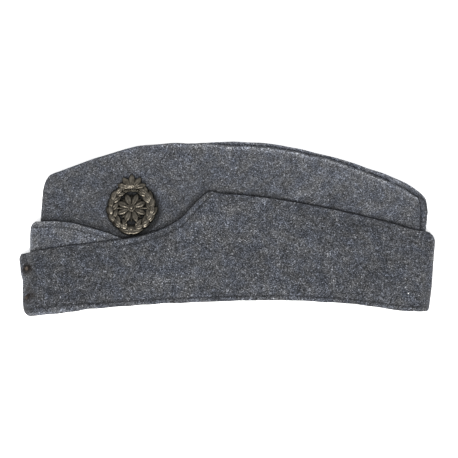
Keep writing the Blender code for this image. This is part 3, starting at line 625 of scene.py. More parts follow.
def place_on_cloth(grid, cloth):
    """Where each point would be on the flat, unrolled cloth: its run along the rows, its run up, its depth.

    A step's length is sqrt(dx^2 + dy^2 + (w dz)^2), where w rises to 1 on steep parts, so that the grain of a
    slanting part isn't crowded when it is seen from above.
    """
    runs = []
    for axis in (0, 1):
        step = np.diff(grid, axis=axis)
        level = np.hypot(step[..., 0], step[..., 1])
        steep = rises(np.abs(step[..., 2]) / (level + TINY), 1.0, 1.0, GRAIN_ON_SLOPES)
        length = np.cumsum(np.hypot(level, steep * step[..., 2]), axis=axis)
        runs.append(np.concatenate((np.zeros_like(np.take(length, [0], axis=axis)), length), axis=axis))
    front = np.stack((*runs, np.zeros_like(runs[0])), -1).reshape(-1, 3)
    return np.concatenate((front, front - (0.0, 0.0, cloth)))


def cloth_piece(name, outer, inner, marks, cloth, finish):
    """A sheet of cloth as an object, with marks for its outer and inner face and each point's place on it."""
    points, quads = closed_sheet(outer, inner)
    marks = {mark: np.concatenate([face.ravel() for face in faces]) for mark, faces in marks.items()}
    marks["cloth"] = place_on_cloth(outer, cloth)
    return mesh_piece(name, points, quads, finish, marks)


def ring_quads(grid):
    """The cells of closed tubes with flat caps, from point numbers by tube, by ring and round each ring."""
    sides = grid.shape[-1]
    beside = np.roll(grid, -1, axis=2)
    quads = [np.stack((grid[:, :-1], beside[:, :-1], beside[:, 1:], grid[:, 1:]), -1).reshape(-1, 4)]
    for low in range(sides // 2 - 1):
        corners = [low, low + 1, sides - 2 - low, sides - 1 - low]
        quads += [grid[:, 0, corners][:, ::-1], grid[:, -1, corners]]
    return np.concatenate(quads)


def tubes(paths, up, radius, sides):
    """Closed tubes along many paths at once: each ring is path + r (cos a side + sin a over), with caps.

    paths is tubes x points x 3, up is a direction for all points or each, and radius a number for each point.
    """
    along = unit(np.gradient(paths, axis=1))
    side = unit(np.cross(along, np.asarray(up)))
    over = np.cross(side, along)
    turn = circle(sides)[:, None]
    spoke = side[:, :, None] * np.cos(turn) + over[:, :, None] * np.sin(turn)
    rings = paths[:, :, None] + radius[..., None, None] * spoke
    return rings.reshape(-1, 3), ring_quads(np.arange(rings.size // 3).reshape(rings.shape[:3]))


def joined(parts):
    """Several sets of points and quads as one."""
    starts = np.cumsum([0] + [len(points) for points, _ in parts[:-1]])
    return (
        np.concatenate([points for points, _ in parts]),
        np.concatenate([quads + start for (_, quads), start in zip(parts, starts)]),
    )


def front_share(x):
    """1 at the cap's front, easing to 0 a quarter of the way back."""
    return 1.0 - rises(share_of(x), *FRONT_END)


def curve_share(x):
    """1 along the curve where the curtain rises from its low front to its tall sides, and 0 away from it."""
    return rises(share_of(x), *CURVE_START) * (1.0 - rises(share_of(x), *CURVE_END))


def stitch_from_hem(x):
    return STITCH_FROM_HEM + STITCH_EXTRA_AT_FRONT * front_share(x)


def stitch_from_edge(x):
    """How far the stitched line is from the curtain's edge: even along the curve, nothing past its top."""
    return STITCH_FROM_EDGE * (1.0 - rises(share_of(x), *EDGE_LINE_END))


def slant(x, line):
    """How much longer a distance down from a line is than one square to it: sqrt(1 + slope^2)."""
    return np.hypot(1.0, (line(x + SLOPE_STEP) - line(x - SLOPE_STEP)) / (2 * SLOPE_STEP))


def curtain_rows(x):
    """Distances up the curtain: close rows at the hem, even ones, and close ones at its upper edge.

    Past the lip the hem's rows are spread as far as the stitches are moved up. The edge's rows are measured
    square to the edge.
    """
    height = curtain_height(x)[:, None]
    spread = (stitch_from_hem(x)[:, None] - HEM_THICKNESS) / (STITCH_FROM_HEM - HEM_THICKNESS)
    low = np.minimum(HEM_ROWS, HEM_THICKNESS) + spread * np.maximum(HEM_ROWS - HEM_THICKNESS, 0.0)
    high = height - EDGE_ROWS * slant(x, curtain_line)[:, None]
    even = np.linspace(0.0, 1.0, CURTAIN_MIDDLE_ROWS + 2)[1:-1]
    between = low[:, -1:] + (high[:, :1] - low[:, -1:]) * even
    return np.concatenate((low, between, high), 1)


# Distances of the rows near a hem and near an edge, close together at the rounding and at the stitches
HEM_ROWS = MILLIMETRE * np.array((
    0.0, 0.1, 0.3, 0.6, 0.95, 1.3, 1.45, 1.8, 2.15, 2.45, 2.7, 2.95, 3.2, 3.4, 3.6, 3.85, 4.1, 4.4, 4.8,
    5.4, 6.2,
))
HEM_LIP_ROWS = 6
EDGE_ROWS = MILLIMETRE * np.array((
    8.6, 7.4, 6.5, 5.9, 5.4, 5.0, 4.7, 4.4, 4.1, 3.8, 3.4, 2.9, 2.4, 1.9, 1.4, 1.0, 0.65, 0.35, 0.15,
    0.04, 0.0,
))
COVER_ROWS = MILLIMETRE * np.array((-2.5, -1.2, -0.4, 0.0, 0.35, 0.7, 1.05, 1.4, 1.8, 2.3, 3.0))
SEAM_STEPS = MILLIMETRE * np.array((0.0, 0.08, 0.22, 0.42, 0.7, 1.0, 1.4, 1.9, 2.6, 3.5, 4.6))
CURTAIN_STEPS = 196
CURTAIN_MIDDLE_ROWS = 30
PEAK_STEPS = 74
PEAK_MIDDLE_ROWS = 9
NOSE_STEPS = 26
CROWN_STEPS = 170
COVERED_ROWS = 9
OPEN_ROWS = 48
WALL_ROWS = COVERED_ROWS + OPEN_ROWS + len(COVER_ROWS)
FOLD_ROWS = 12
FLAP_ROWS = 12


def cover_line(x):
    """The upper edge of what lies on the crown."""
    return np.maximum(curtain_line(x), peak_line(x))


# Painted shade above an edge that lies on the cloth: a narrow dark line, and a shade that fades upwards
LINE_DARKNESS = 0.93
LINE_ABOVE_EDGE = 0.0003
LINE_WIDTH = 0.0017
LINE_UNEVENNESS = 0.30
LINE_START = 0.0006
SHADE_DARKNESS = 0.95
SHADE_FADE = (0.0010, 0.0048)
PEAK_LINE_SHARE = 0.6


def crevice(x, y, line, deep):
    """Painted shade above an edge that lies on the cloth: a narrow dark line, and a shade, deep times as
    dark.
    """
    above = (y - line(x)) / slant(x, line)
    shade = SHADE_DARKNESS * deep * (1.0 - rises(above, *SHADE_FADE))
    width = LINE_WIDTH * (1.0 + LINE_UNEVENNESS * waves(x, 0 * x, EDGE_WANDER_WAVE, SEED_CREVICE))
    dark = np.maximum(LINE_DARKNESS * bell(above - LINE_ABOVE_EDGE, width), shade)
    return dark * ease(above / LINE_START + 1.0)


# The crown's rows: how they find the edge of what lies on it, and how they crowd towards the ridge
COVER_START = 0.6
COVER_TRIES = 6
COVER_LIMIT = 0.85
ROW_CROWDING = 1.25

# The crown's seams and ridge: how much of the cloth they take off, and how far from them it is rough
SEAM_ROUNDING = 0.62
ROUGH_FROM_SEAM = 0.0054
ROUGH_FROM_RIDGE = 1 / 9

# Wear and painted light of the crown: rubbed along the ridge in blotches, and painted lighter towards the
# ridge and the rear.
# Three numbers are where along a half it starts, over how long a way it rises, and from which share.
RUBBED_ALONG = (0.25, 0.15, 0.25)
RUBBED_LEAST = 0.3
BLOTCH_LEVEL = 0.9
BLOTCH_CONTRAST = 0.25
BLOTCH_WAVE = 0.011
RIDGE_PAINTED_LIGHT = 0.32
RIDGE_PAINTED_LIGHT_REACH = 0.025
RIDGE_PAINTED_LIGHT_ALONG = (0.1, 0.4, 0.4)
REAR_PAINTED_LIGHT = 0.20
REAR_PAINTED_LIGHT_ALONG = (0.12, 0.5)

# Painted shade of the crown: beside what lies on it, past the rear seam, and on the flap, whose far half is
# rubbed pale and painted lighter
COVER_SHADE = 0.95
REAR_LINE_BELOW_RIDGE = 0.006
UNDER_EDGE_TOP = 0.074
UNDER_EDGE_FADE = 0.006
FAR_FLAP_RUB_AND_LIGHT = 0.9
FLAP_SHADE = 0.4


def crown_half(name, half, side, finish):
    """One half of the crown: a wall from the foot to the ridge, a half circle over it, and a folded-in flap.

    Each section runs from a foot point to a ridge point, and a point on it is foot + distance x direction.
    """
    along = x_of(RIDGE[half + "_along"])
    up = y_of(CAP_HEIGHT * RIDGE[half + "_up"])
    walked = walk(along, up)
    walked /= walked[-1]
    foot_length = CAP_LENGTH - CROWN_FRONT_INSET - CROWN_REAR_INSET
    steps = SEAM_STEPS / foot_length
    between = np.linspace(steps[-1], 1.0 - steps[-1], CROWN_STEPS)
    station = np.concatenate((steps[:-1], between, 1.0 - steps[-2::-1]))
    ridge = np.stack((smooth(walked, along, station), smooth(walked, up, station)), -1)
    run = walk(*ridge.T)[:, None]
    foot_x = x_of(0.0) + CROWN_FRONT_INSET + foot_length * station
    foot = np.stack((foot_x, foot_line(foot_x)), -1)
    length = np.linalg.norm(ridge - foot, axis=1)[:, None]
    way = (ridge - foot)[:, None, :] / length[..., None]
    length = length + stray(foot_x, SEED_RIDGE_WANDER + side)[:, None]
    station = station[:, None]
    rear = station > 0.5
    from_seam = np.minimum(station, 1.0 - station) * foot_length

    def at(distance):
        """X and Y at a distance up each section."""
        point = foot[:, None, :] + way * distance[..., None]
        ahead = front_bow(distance / length) * (1.0 - station) ** CROWN_FRONT_BOW_FADE
        return point[..., 0] - ahead, point[..., 1]

    rounding = round_off(from_seam, EDGE_ROUNDING, SEAM_ROUNDING * CROWN_CLOTH)
    turn = (crown_outer(ridge[:, :1], ridge[:, 1:]) - CLEARANCE / 2) / 2
    top = length - turn
    cover = COVER_START * top
    for _ in range(COVER_TRIES):
        cover = (cover_line(foot[:, :1] + way[..., 0] * cover) - foot[:, 1:]) / way[..., 1]
    cover = np.minimum(cover, COVER_LIMIT * top)
    open_shares = 1.0 - (1.0 - np.linspace(0.0, 1.0, OPEN_ROWS + 1)[1:]) ** ROW_CROWDING
    wall = np.concatenate((
        (cover + COVER_ROWS[0]) * np.linspace(0.0, 1.0, COVERED_ROWS + 1)[:-1],
        cover + COVER_ROWS,
        cover + COVER_ROWS[-1] + (top - cover - COVER_ROWS[-1]) * open_shares,
    ), 1)
    x, y = at(wall)
    rough = unevenness(x, y, side, SEED_CROWN_DENTS)
    rough *= ease(from_seam / ROUGH_FROM_SEAM) * ease((1.0 - wall / top) / ROUGH_FROM_RIDGE)
    outer = [placed(x, y, crown_outer(x, y) - rounding + rough, side)]
    inner = [placed(x, y, crown_inner(x, y), side)]
    rubbed = rises(station, *RUBBED_ALONG)
    blotches = BLOTCH_LEVEL + BLOTCH_CONTRAST * waves(run, 0 * run, BLOTCH_WAVE, SEED_RUBBING)
    # Painted light: the crown lighter towards the ridge and towards the rear
    crown_painted_light = RIDGE_PAINTED_LIGHT * np.exp(-(top - wall) / RIDGE_PAINTED_LIGHT_REACH) * rises(station, *RIDGE_PAINTED_LIGHT_ALONG)
    crown_painted_light = crown_painted_light + REAR_PAINTED_LIGHT * rises(station, *REAR_PAINTED_LIGHT_ALONG)
    ridge_rub = line_mark("crown ridge", top - wall) * rubbed * blotches
    # Wear and painted light: the rubbed ridge, painted rim light and fuzz by the front seam, and the painted
    # light
    wear_and_light = [np.maximum(ridge_rub, line_mark("crown front", from_seam) * ~rear) + crown_painted_light]
    # Painted shade: above the edges of the peak and curtain, round the badge, and a dark line down the rear
    # seam
    deep = 1.0 - rises(share_of(x), *DEEP_SHADE_END)
    shade = np.maximum(COVER_SHADE * crevice(x, y, cover_line, deep), badge_shade(x, y) * (side > 0))
    rear_shade_line = line_mark("crown rear", from_seam) * rear * ease((top - wall) / REAR_LINE_BELOW_RIDGE)
    shade_and_grime = [np.maximum(rear_shade_line, shade)]

    stack = crown_outer(x[:, -1:], y[:, -1:]) - CLEARANCE / 2 - rounding
    thin, slot = flap_cloth(x[:, -1:], y[:, -1:]), flap_slot(x[:, -1:], y[:, -1:])
    angle = np.radians(np.linspace(90.0, -90.0, FOLD_ROWS + 2)[1:-1])
    ahead = np.cos(angle) ** FOLD_SQUARENESS
    above = np.sign(angle) * np.abs(np.sin(angle)) ** FOLD_SQUARENESS
    x, y = at(length - turn + turn * ahead)
    outer.append(placed(x, y, CLEARANCE / 2 + stack / 2 * (1 + above), side))
    x, y = at(length - turn + slot / 2 * np.cos(angle))
    inner.append(placed(x, y, CLEARANCE / 2 + thin + slot / 2 * (1 + np.sin(angle)), side))
    fold_rub = rubbed + 0.0 * angle
    if side > 0:
        fold_rub = fold_rub * np.maximum(line_mark("crown fold", angle / np.pi) * blotches, RUBBED_LEAST)
    wear_and_light.append(fold_rub)
    shade_and_grime.append(0.0 * fold_rub)

    depth = np.maximum(fold_depth(ridge[:, :1], ridge[:, 1:]), turn + 2 * CLEARANCE)
    down = np.linspace(0.0, 1.0, FLAP_ROWS)
    x, y = at(length - turn - (depth - turn) * down)
    level = np.full_like(x, CLEARANCE / 2)
    outer.append(placed(x, y, level, side))
    inner.append(placed(x, y, level + flap_cloth(x, y), side))
    # The far half's flap is rubbed pale and painted lighter, and painted shade deepens down each flap
    wear_and_light.append(FAR_FLAP_RUB_AND_LIGHT * (side < 0) * (1.0 - down) + 0.0 * x)
    shade_and_grime.append(FLAP_SHADE * down + 0.0 * x)

    outer, inner, wear_and_light, shade_and_grime = (np.concatenate(rows, 1) for rows in (outer, inner, wear_and_light, shade_and_grime))
    # Inner faces: painted rim light and fuzz by the rear seam, and painted shade beside the near half's rear
    # edge
    beside = inner[..., 0] - crown_rear(inner[..., 1])
    below = 1.0 - (inner[..., 1] - y_of(UNDER_EDGE_TOP)) / UNDER_EDGE_FADE
    made = cloth_piece(name, outer, inner, {
        "wear_and_light": (wear_and_light, line_mark("crown rear inside", from_seam) * rear + 0.0 * wear_and_light),
        "shade_and_grime": (shade_and_grime, line_mark("crown under edge", beside) * ease(below)),
    }, CROWN_CLOTH, finish)
    return made, outer[::side, :WALL_ROWS]


def end_inset(table, corner, level):
    """How far an end lies inside its corner at a share of its height."""
    return corner * smooth(table["up"], table["inset"], level)


def curtain_front(level):
    """X of the curtain's front fold at a share of its height."""
    return x_of(0.0) + end_inset(CURTAIN_FRONT, CURTAIN_FRONT_CORNER, level)


def curtain_rear(level):
    """X of the curtain's rear fold at a share of its height."""
    return x_of(1.0) - end_inset(CURTAIN_REAR, CURTAIN_REAR_CORNER, level)


def curtain_grid(cloth):
    """Points round the curtain, from its left end at the front fold, round the rear, to its right end there.

    Along the flat sides X goes evenly. Round each fold X = nose - r cos a and the side = sin a. The points of
    a row are at one distance up the flap, and X is drawn in at each level as the ends' outlines say.
    """
    reach = CURTAIN_CLOTH + FOLD_HOLLOW
    slit = CURTAIN_SLIT / (CURTAIN_CLOTH + CURTAIN_FOLD_GAP)
    front_turn = np.linspace(slit - np.pi / 2, np.pi / 2, NOSE_STEPS)[:-1]
    rear_turn = np.linspace(np.pi / 2, -np.pi / 2, NOSE_STEPS)[1:-1]
    even = np.linspace(0.0, 1.0, CURTAIN_STEPS)
    share = np.concatenate((np.zeros(len(front_turn)), even, np.ones(len(rear_turn)), even[::-1]))
    back = np.concatenate((-np.cos(front_turn), 0 * even, np.cos(rear_turn), 0 * even))
    left = np.ones(len(even))
    side = np.concatenate((np.sin(front_turn), left, np.sin(rear_turn), -left))[:, None]
    rough_x = x_of(0.0) + reach + share * (CAP_LENGTH - 2 * reach) + back * (reach - cloth)
    distance = curtain_rows(rough_x)
    level = np.clip(distance / curtain_height(rough_x)[:, None], 0.0, 1.0)
    front, rear = curtain_front(level) + reach, curtain_rear(level) - reach
    x = front + (rear - front) * share[:, None] + back[:, None] * (reach - cloth)
    return x, level, side, walk(x[:, len(HEM_ROWS) - 1], reach * side[:, 0])[:, None]


def curtain_height(x):
    return curtain_line(x) - hem_line(x)


# The badge's painted shadow: how far it is moved from the badge, and the darkness, reach and fading of its
# two parts
BADGE_SHADE_ASIDE = 0.0016
BADGE_SHADE_ABOVE = -0.0010
BADGE_SHADES = ((0.75, 0.0175, 0.0045), (1.3, 0.0182, 0.0022))


def badge_shade(x, y):
    """Painted shadow on the cloth under the badge and beside its right and lower edges: how dark it is."""
    away = np.hypot(x - x_of(BADGE_ALONG) - BADGE_SHADE_ASIDE, y - y_of(BADGE_UP) - BADGE_SHADE_ABOVE)
    return np.max([dark * (1.0 - rises(away, reach, fading)) for dark, reach, fading in BADGE_SHADES], axis=0)


# The low swelling past each dimple: its height in dimple depths, its distance and width in dimple reaches
SWELLING_HEIGHT = 0.35
SWELLING_AWAY = 1.9
SWELLING_WIDTH = 0.8


def knot_dimples(x, y):
    """How far the cloth is pulled in round the two lumps of thread, with a low swelling past each."""
    pulled = 0.0
    for up in (KNOT_UPPER_UP, KNOT_LOWER_UP):
        away = np.hypot(x - x_of(0.0) - KNOT_INSET, y - y_of(up)) / KNOT_DIMPLE_REACH
        pulled = pulled + bell(away, 1.0) - SWELLING_HEIGHT * bell(away - SWELLING_AWAY, SWELLING_WIDTH)
    return KNOT_DIMPLE * pulled


# Dark spots on the curtain's front: X from the cap's front, height, reach and strength
KNOT_DARK_SPOTS = columns(
    "inset up reach strength",
    (
        (0.0061, 0.0345, 0.0030, 3.2), (0.0093, 0.0157, 0.0016, 2.6), (0.0059, 0.0120, 0.0026, 1.6),
        (0.0071, 0.0199, 0.0014, 2.4),
    ),
)


def darkness_round_knots(x, y):
    """How much the cloth is darkened round the two lumps of thread: a sum of bells, at most 1."""
    away = np.hypot(x[..., None] - x_of(0.0) - KNOT_DARK_SPOTS["inset"], y[..., None] - y_of(KNOT_DARK_SPOTS["up"]))
    return np.clip((KNOT_DARK_SPOTS["strength"] * bell(away, KNOT_DARK_SPOTS["reach"])).sum(-1), 0.0, 1.0)


def hem_wander(x, side, from_hem):
    """How far the worn hem strays from its line: unlike on the two sides, and dying out upwards."""
    wander = stray(x, SEED_HEM_WANDER) + SIDES_DIFFER * side * stray(x, SEED_HEM_WANDER + 1)
    return wander * np.exp(-from_hem / HEM_WANDER_REACH)


# Painted light and shade on the curtain: how much lighter its parts are, darker where below 0, and where each
# starts and over how long a way it rises
PAINTED_SHADE_AT_FRONT = -0.13
PAINTED_LIGHT_BEHIND = 0.30
PAINTED_LIGHT_BEHIND_ALONG = (0.12, 0.25)
PAINTED_SHADE_AT_REAR = -0.05
PAINTED_SHADE_AT_REAR_ALONG = (0.6, 0.2)
PAINTED_LIGHT_ABOVE = 0.11
PAINTED_LIGHT_ABOVE_START = (0.42, 0.06)
PAINTED_LIGHT_ABOVE_END = (0.60, 0.12)
PAINTED_LIGHT_ABOVE_UP = (0.5, 0.4)


def curtain_painted_light(x, level):
    """Painted light and shade on the curtain's wool: dark in front, lightest in the middle towards its upper
    edge.
    """
    along = share_of(x)
    above = rises(along, *PAINTED_LIGHT_ABOVE_START) * (1.0 - rises(along, *PAINTED_LIGHT_ABOVE_END))
    behind = PAINTED_LIGHT_BEHIND * rises(along, *PAINTED_LIGHT_BEHIND_ALONG)
    at_rear = PAINTED_SHADE_AT_REAR * rises(along, *PAINTED_SHADE_AT_REAR_ALONG)
    return PAINTED_SHADE_AT_FRONT + behind + at_rear + PAINTED_LIGHT_ABOVE * above * rises(level, *PAINTED_LIGHT_ABOVE_UP)


# The worn line along the curtain's hem: strength, width and distance from the hem, and what the front adds
HEM_WEAR = (0.35, 0.95)
HEM_WEAR_WIDTH = (0.0013, 0.0006)
HEM_WEAR_UP = 0.0012


def curtain(finish):
    """The turned-up flap: low at the front, tall at the sides, with a stitched hem and upper edge."""
    x, level, side, run = curtain_grid(0.0)
    front, curve = front_share(x), curve_share(x)
    height = curtain_height(x)
    y = hem_line(x) + height * level
    from_hem, from_edge = height * level, height * (1.0 - level) / slant(x, curtain_line)
    y = y + hem_wander(x, side, from_hem)
    drop = sum(round_off(distance, EDGE_ROUNDING, CURTAIN_CLOTH / 2) for distance in (from_edge, from_hem))
    hem_seam, edge_seam = from_hem - stitch_from_hem(x), from_edge - stitch_from_edge(x)
    dips = seam_dip(hem_seam, run, HEM_SEAM_PHASE)
    dips = dips + EDGE_SEAM_DEPTH * curve * seam_dip(edge_seam, run, EDGE_SEAM_PHASE)
    rough = unevenness(x, y, side, SEED_CURTAIN_DENTS)
    rough = rough * ease(from_edge / DENT_FREE_EDGE) * ease(from_hem / DENT_FREE_EDGE)
    on_left = ease(side)
    over = curtain_outer(x, y) - drop - relief(side) * dips + rough - on_left * knot_dimples(x, y)
    outer = placed(x, y, over, side)
    # Painted rim light and fuzz at the ends, wear along the hem, and painted highlight and wear on the upper
    # lip
    front_rim_fuzz_and_light = line_mark("curtain front", x - curtain_front(level))
    end_rims_fuzz_and_light = np.maximum(front_rim_fuzz_and_light, line_mark("curtain rear", curtain_rear(level) - x))
    strength, width = (least + more * front for least, more in (HEM_WEAR, HEM_WEAR_WIDTH))
    worn_hem = strength * bell(from_hem - HEM_WEAR_UP, width)
    sewn = lifted_from(EDGE_WEAR_AND_LIGHT_AWAY_FROM_CURVE, curve)
    worn_and_lit = np.maximum(np.maximum(worn_hem, end_rims_fuzz_and_light), sewn * line_mark("curtain edge", from_edge))
    # Wear and painted light and shade; grime and painted shade in the stitched grooves; dark spots round the
    # thread
    marks = {
        "wear_and_light": worn_and_lit + curtain_painted_light(x, level),
        "shade_and_grime": line_mark("curtain hem", hem_seam) + curve * line_mark("curtain edge seam", edge_seam),
        "dark_spots": on_left * darkness_round_knots(x, y),
    }

    x, level, side, _ = curtain_grid(CURTAIN_CLOTH)
    height = curtain_height(x)
    distance = height * level
    distance[:, HEM_LIP_ROWS] = distance[:, HEM_LIP_ROWS - 1]
    y = hem_line(x) + distance + hem_wander(x, side, distance)
    rise = round_off((height - distance) / slant(x, curtain_line), EDGE_ROUNDING, CURTAIN_CLOTH / 2)
    lip = crown_inner(x, y) + round_off(distance, HEM_THICKNESS, CROWN_CLOTH / 2)
    over = np.where(np.arange(x.shape[1]) < HEM_LIP_ROWS, lip, curtain_inner(x, y) + rise)
    faces = {mark: (values, 0.0 * values) for mark, values in marks.items()}
    made = cloth_piece("curtain_cloth", outer, placed(x, y, over, side), faces, CURTAIN_CLOTH, finish)
    return made, outer


# The peak's rows and columns: how they crowd towards its front, and how they narrow where the peak is low
PEAK_CROWDING = 1.1
PEAK_EDGE_MARGIN = 0.001
PEAK_SHRINK_HEIGHT = 0.012
PEAK_COVER_LEAST = 0.5
PEAK_COVER_MARGIN = 0.004


def peak(finish):
    """The false peak: round the front fold and out to a point on each side, with a stitched upper edge."""
    reach = PEAK_CLOTH + FOLD_HOLLOW
    turn = np.linspace(np.pi / 2, -np.pi / 2, NOSE_STEPS)[1:-1]
    even = np.linspace(0.0, 1.0, PEAK_STEPS) ** PEAK_CROWDING
    share = np.concatenate((even[::-1], np.zeros(len(turn)), even))[:, None]
    back = np.concatenate((0 * even, -np.cos(turn), 0 * even))[:, None]
    side = np.concatenate((np.ones(len(even)), np.sin(turn), -np.ones(len(even))))[:, None]
    tip = x_of(0.0) + PEAK_INSET
    start, flat = tip + reach, PEAK_LENGTH - reach
    rough_x = start + share * flat
    height = peak_line(rough_x) - foot_line(rough_x)
    small = np.minimum(1.0, height / (EDGE_ROWS[0] + PEAK_EDGE_MARGIN))
    body = height - EDGE_ROWS[0] * small
    shrink = np.minimum(1.0, body / PEAK_SHRINK_HEIGHT)
    cover = curtain_line(rough_x) - foot_line(rough_x)
    cover = np.clip(cover, PEAK_COVER_LEAST * body, body - PEAK_COVER_MARGIN * shrink)
    covers = cover + COVER_ROWS * shrink
    rows = np.linspace(0.0, 1.0, PEAK_MIDDLE_ROWS)[:-1]
    above = covers[:, -1:] + (body - covers[:, -1:]) * rows[1:]
    level = np.concatenate((covers[:, :1] * rows, covers, above, height - EDGE_ROWS * small), 1) / height
    front = start + end_inset(PEAK_FRONT, PEAK_CORNER, level)

    def face(cloth):
        """X and Y of one face of the peak, how tall it is there and how far its upper edge is."""
        x = front + (start + flat - front) * share + back * (reach - cloth)
        height = peak_line(x) - foot_line(x)
        return x, foot_line(x) + height * level, height, height * (1.0 - level)

    x, y, height, from_edge = face(0.0)
    run = walk(x[:, -1], reach * side[:, 0])[:, None]
    drop = round_off(from_edge, EDGE_ROUNDING, PEAK_CLOTH / 2)
    seam = from_edge - STITCH_FROM_PEAK_EDGE
    dips = PEAK_SEAM_DEPTH * seam_dip(seam, run, PEAK_SEAM_PHASE) * ease(height / PEAK_SEAM_HEIGHT)
    rough = ROUGH_SHARE_ON_PEAK * unevenness(x, y, side, SEED_PEAK_DENTS) * ease(from_edge / DENT_FREE_EDGE)
    outer = placed(x, y, peak_inner(x, y) + PEAK_CLOTH - drop - dips + rough, side)
    from_front = x - tip - end_inset(PEAK_FRONT, PEAK_CORNER, level)
    # Painted rim light and fuzz along the front, painted highlight and wear on the upper lip; grime and
    # painted shade in the seam groove, and painted shade above the curtain's edge
    wear_and_light = np.maximum(line_mark("peak edge", from_edge), line_mark("peak front", from_front))
    shade_and_grime = np.maximum(line_mark("peak seam", seam), PEAK_LINE_SHARE * crevice(x, y, curtain_line, 0.0))

    x, y, _, from_edge = face(PEAK_CLOTH)
    inner = placed(x, y, peak_inner(x, y) + round_off(from_edge, EDGE_ROUNDING, PEAK_CLOTH / 2), side)
    faces = {"wear_and_light": (wear_and_light, 0.0 * wear_and_light), "shade_and_grime": (shade_and_grime, 0.0 * shade_and_grime)}
    return cloth_piece("peak_cloth", outer, inner, faces, PEAK_CLOTH, finish), outer[::-1]


# A laid stitch: its points, how level its cloth has to be, how askew it lies, how it rises and how it thins
STITCH_POINTS = 7
STITCH_LEVEL = 0.6
STITCH_ASKEW = 0.00007
STITCH_RISE = 1.5
STITCH_SUNK = 0.9
STITCH_END = 0.45
THREAD_SIDES = 6


def stitch_places(grid, distance_from_edge, wanted):
    """Places and normals of the stitches along a grid's row that lies nearest the wanted distance."""
    row = int(np.argmin(np.abs(distance_from_edge - wanted)))
    path, facing = grid[:, row], outward(grid)[:, row]
    walked = walk(*path.T)
    centres = np.arange(STITCH_PITCH, walked[-1] - STITCH_PITCH, STITCH_PITCH)
    steps = centres[:, None] + STITCH_LENGTH * np.linspace(-0.5, 0.5, STITCH_POINTS)
    places, normals = (
        np.stack([np.interp(steps, walked, axis) for axis in values.T], -1) for values in (path, facing)
    )
    flat = np.abs(normals[:, :, 2]).min(1) > STITCH_LEVEL
    return places[flat], normals[flat]


def stitches(name, rows, finish):
    """Short threads along seams: each rises out of the cloth and sinks back as a sine arch, a bit askew."""
    places, normals = (np.concatenate(values) for values in zip(*rows))
    draw = np.random.default_rng(SEED_STITCHES)
    arch = np.sin(np.pi * np.linspace(0.0, 1.0, STITCH_POINTS))
    askew = draw.normal(0.0, STITCH_ASKEW, (len(places), 1)) * np.linspace(-1.0, 1.0, STITCH_POINTS)
    along = unit(np.gradient(places, axis=1))
    lifted = places + normals * (STITCH_THREAD * (STITCH_RISE * arch - STITCH_SUNK))[:, None]
    lifted += np.cross(along, normals) * askew[..., None]
    lifted[..., 2] = np.maximum(lifted[..., 2], STITCH_THREAD)
    thick = STITCH_THREAD * lifted_from(STITCH_END, np.sqrt(np.clip(arch, 0.0, 1.0)))
    return mesh_piece(name, *tubes(lifted, normals, thick + 0.0 * askew, THREAD_SIDES), finish)


# A loose fibre: its points and sides, shares of its length, bend, lift and thickness, and how many stand up
NAP_POINTS = 4
NAP_SIDES = 4
NAP_LENGTHS = (0.35, 1.25)
NAP_BEND = 0.35
NAP_LIFTS = (0.05, 1.0)
NAP_STANDING = 0.16
NAP_STANDING_LIFT = 1.6
NAP_STANDING_REACH = 0.35
NAP_ROOT = 0.00002
NAP_THICKNESSES = (0.6, 1.6)
NAP_TAPER = 0.75
NAP_SHADES = 1.6


def nap(name, grid, shown, count, seed, finish):
    """Loose fibres on a cloth face: each a thin bent hair that leaves the face, arches, and mostly lies back.

    A fibre starts at a random place of the grid. Its path is place + s L (direction) + lift 4 s (1 - s) N,
    and a few stand straight out instead, with lift s N.
    """
    draw = np.random.default_rng(seed)
    corner = grid[:-1, :-1]
    size = np.linalg.norm(np.cross(grid[1:, :-1] - corner, grid[:-1, 1:] - corner), axis=-1)
    weight = (size * shown[:-1, :-1]).ravel()
    i, j = np.unravel_index(draw.choice(len(weight), count, p=weight / weight.sum()), size.shape)
    u, v = draw.uniform(size=(2, count, 1))
    near, far = (grid[i, k] * (1 - u) + grid[i + 1, k] * u for k in (j, j + 1))
    start = near * (1 - v) + far * v
    facing = outward(grid)[i, j]
    across = unit(np.cross(facing, draw.normal(size=(count, 3))))
    s = np.linspace(0.0, 1.0, NAP_POINTS)
    long = NAP_LENGTH * draw.uniform(*NAP_LENGTHS, (count, 1))
    bend = long * draw.normal(0.0, NAP_BEND, (count, 1)) * s**2
    lift = NAP_LIFT * draw.uniform(*NAP_LIFTS, (count, 1)) ** 2
    standing = draw.uniform(size=(count, 1)) < NAP_STANDING
    rise = np.where(standing, NAP_STANDING_LIFT * lift * s, lift * 4 * s * (1 - s)) - NAP_ROOT
    reach = long * np.where(standing, NAP_STANDING_REACH, 1.0) * s
    ways = ((across, reach), (np.cross(facing, across), bend), (facing, rise))
    paths = start[:, None] + sum(way[:, None] * amount[..., None] for way, amount in ways)
    paths[..., 2] = np.maximum(paths[..., 2], NAP_RADIUS)
    thick = NAP_RADIUS * draw.uniform(*NAP_THICKNESSES, (count, 1)) * (1.0 - NAP_TAPER * s**3)
    shade = np.repeat(draw.beta(NAP_SHADES, NAP_SHADES, count), NAP_SIDES * NAP_POINTS)
    return mesh_piece(name, *tubes(paths, facing[:, None], thick, NAP_SIDES), finish, {"shade": shade})


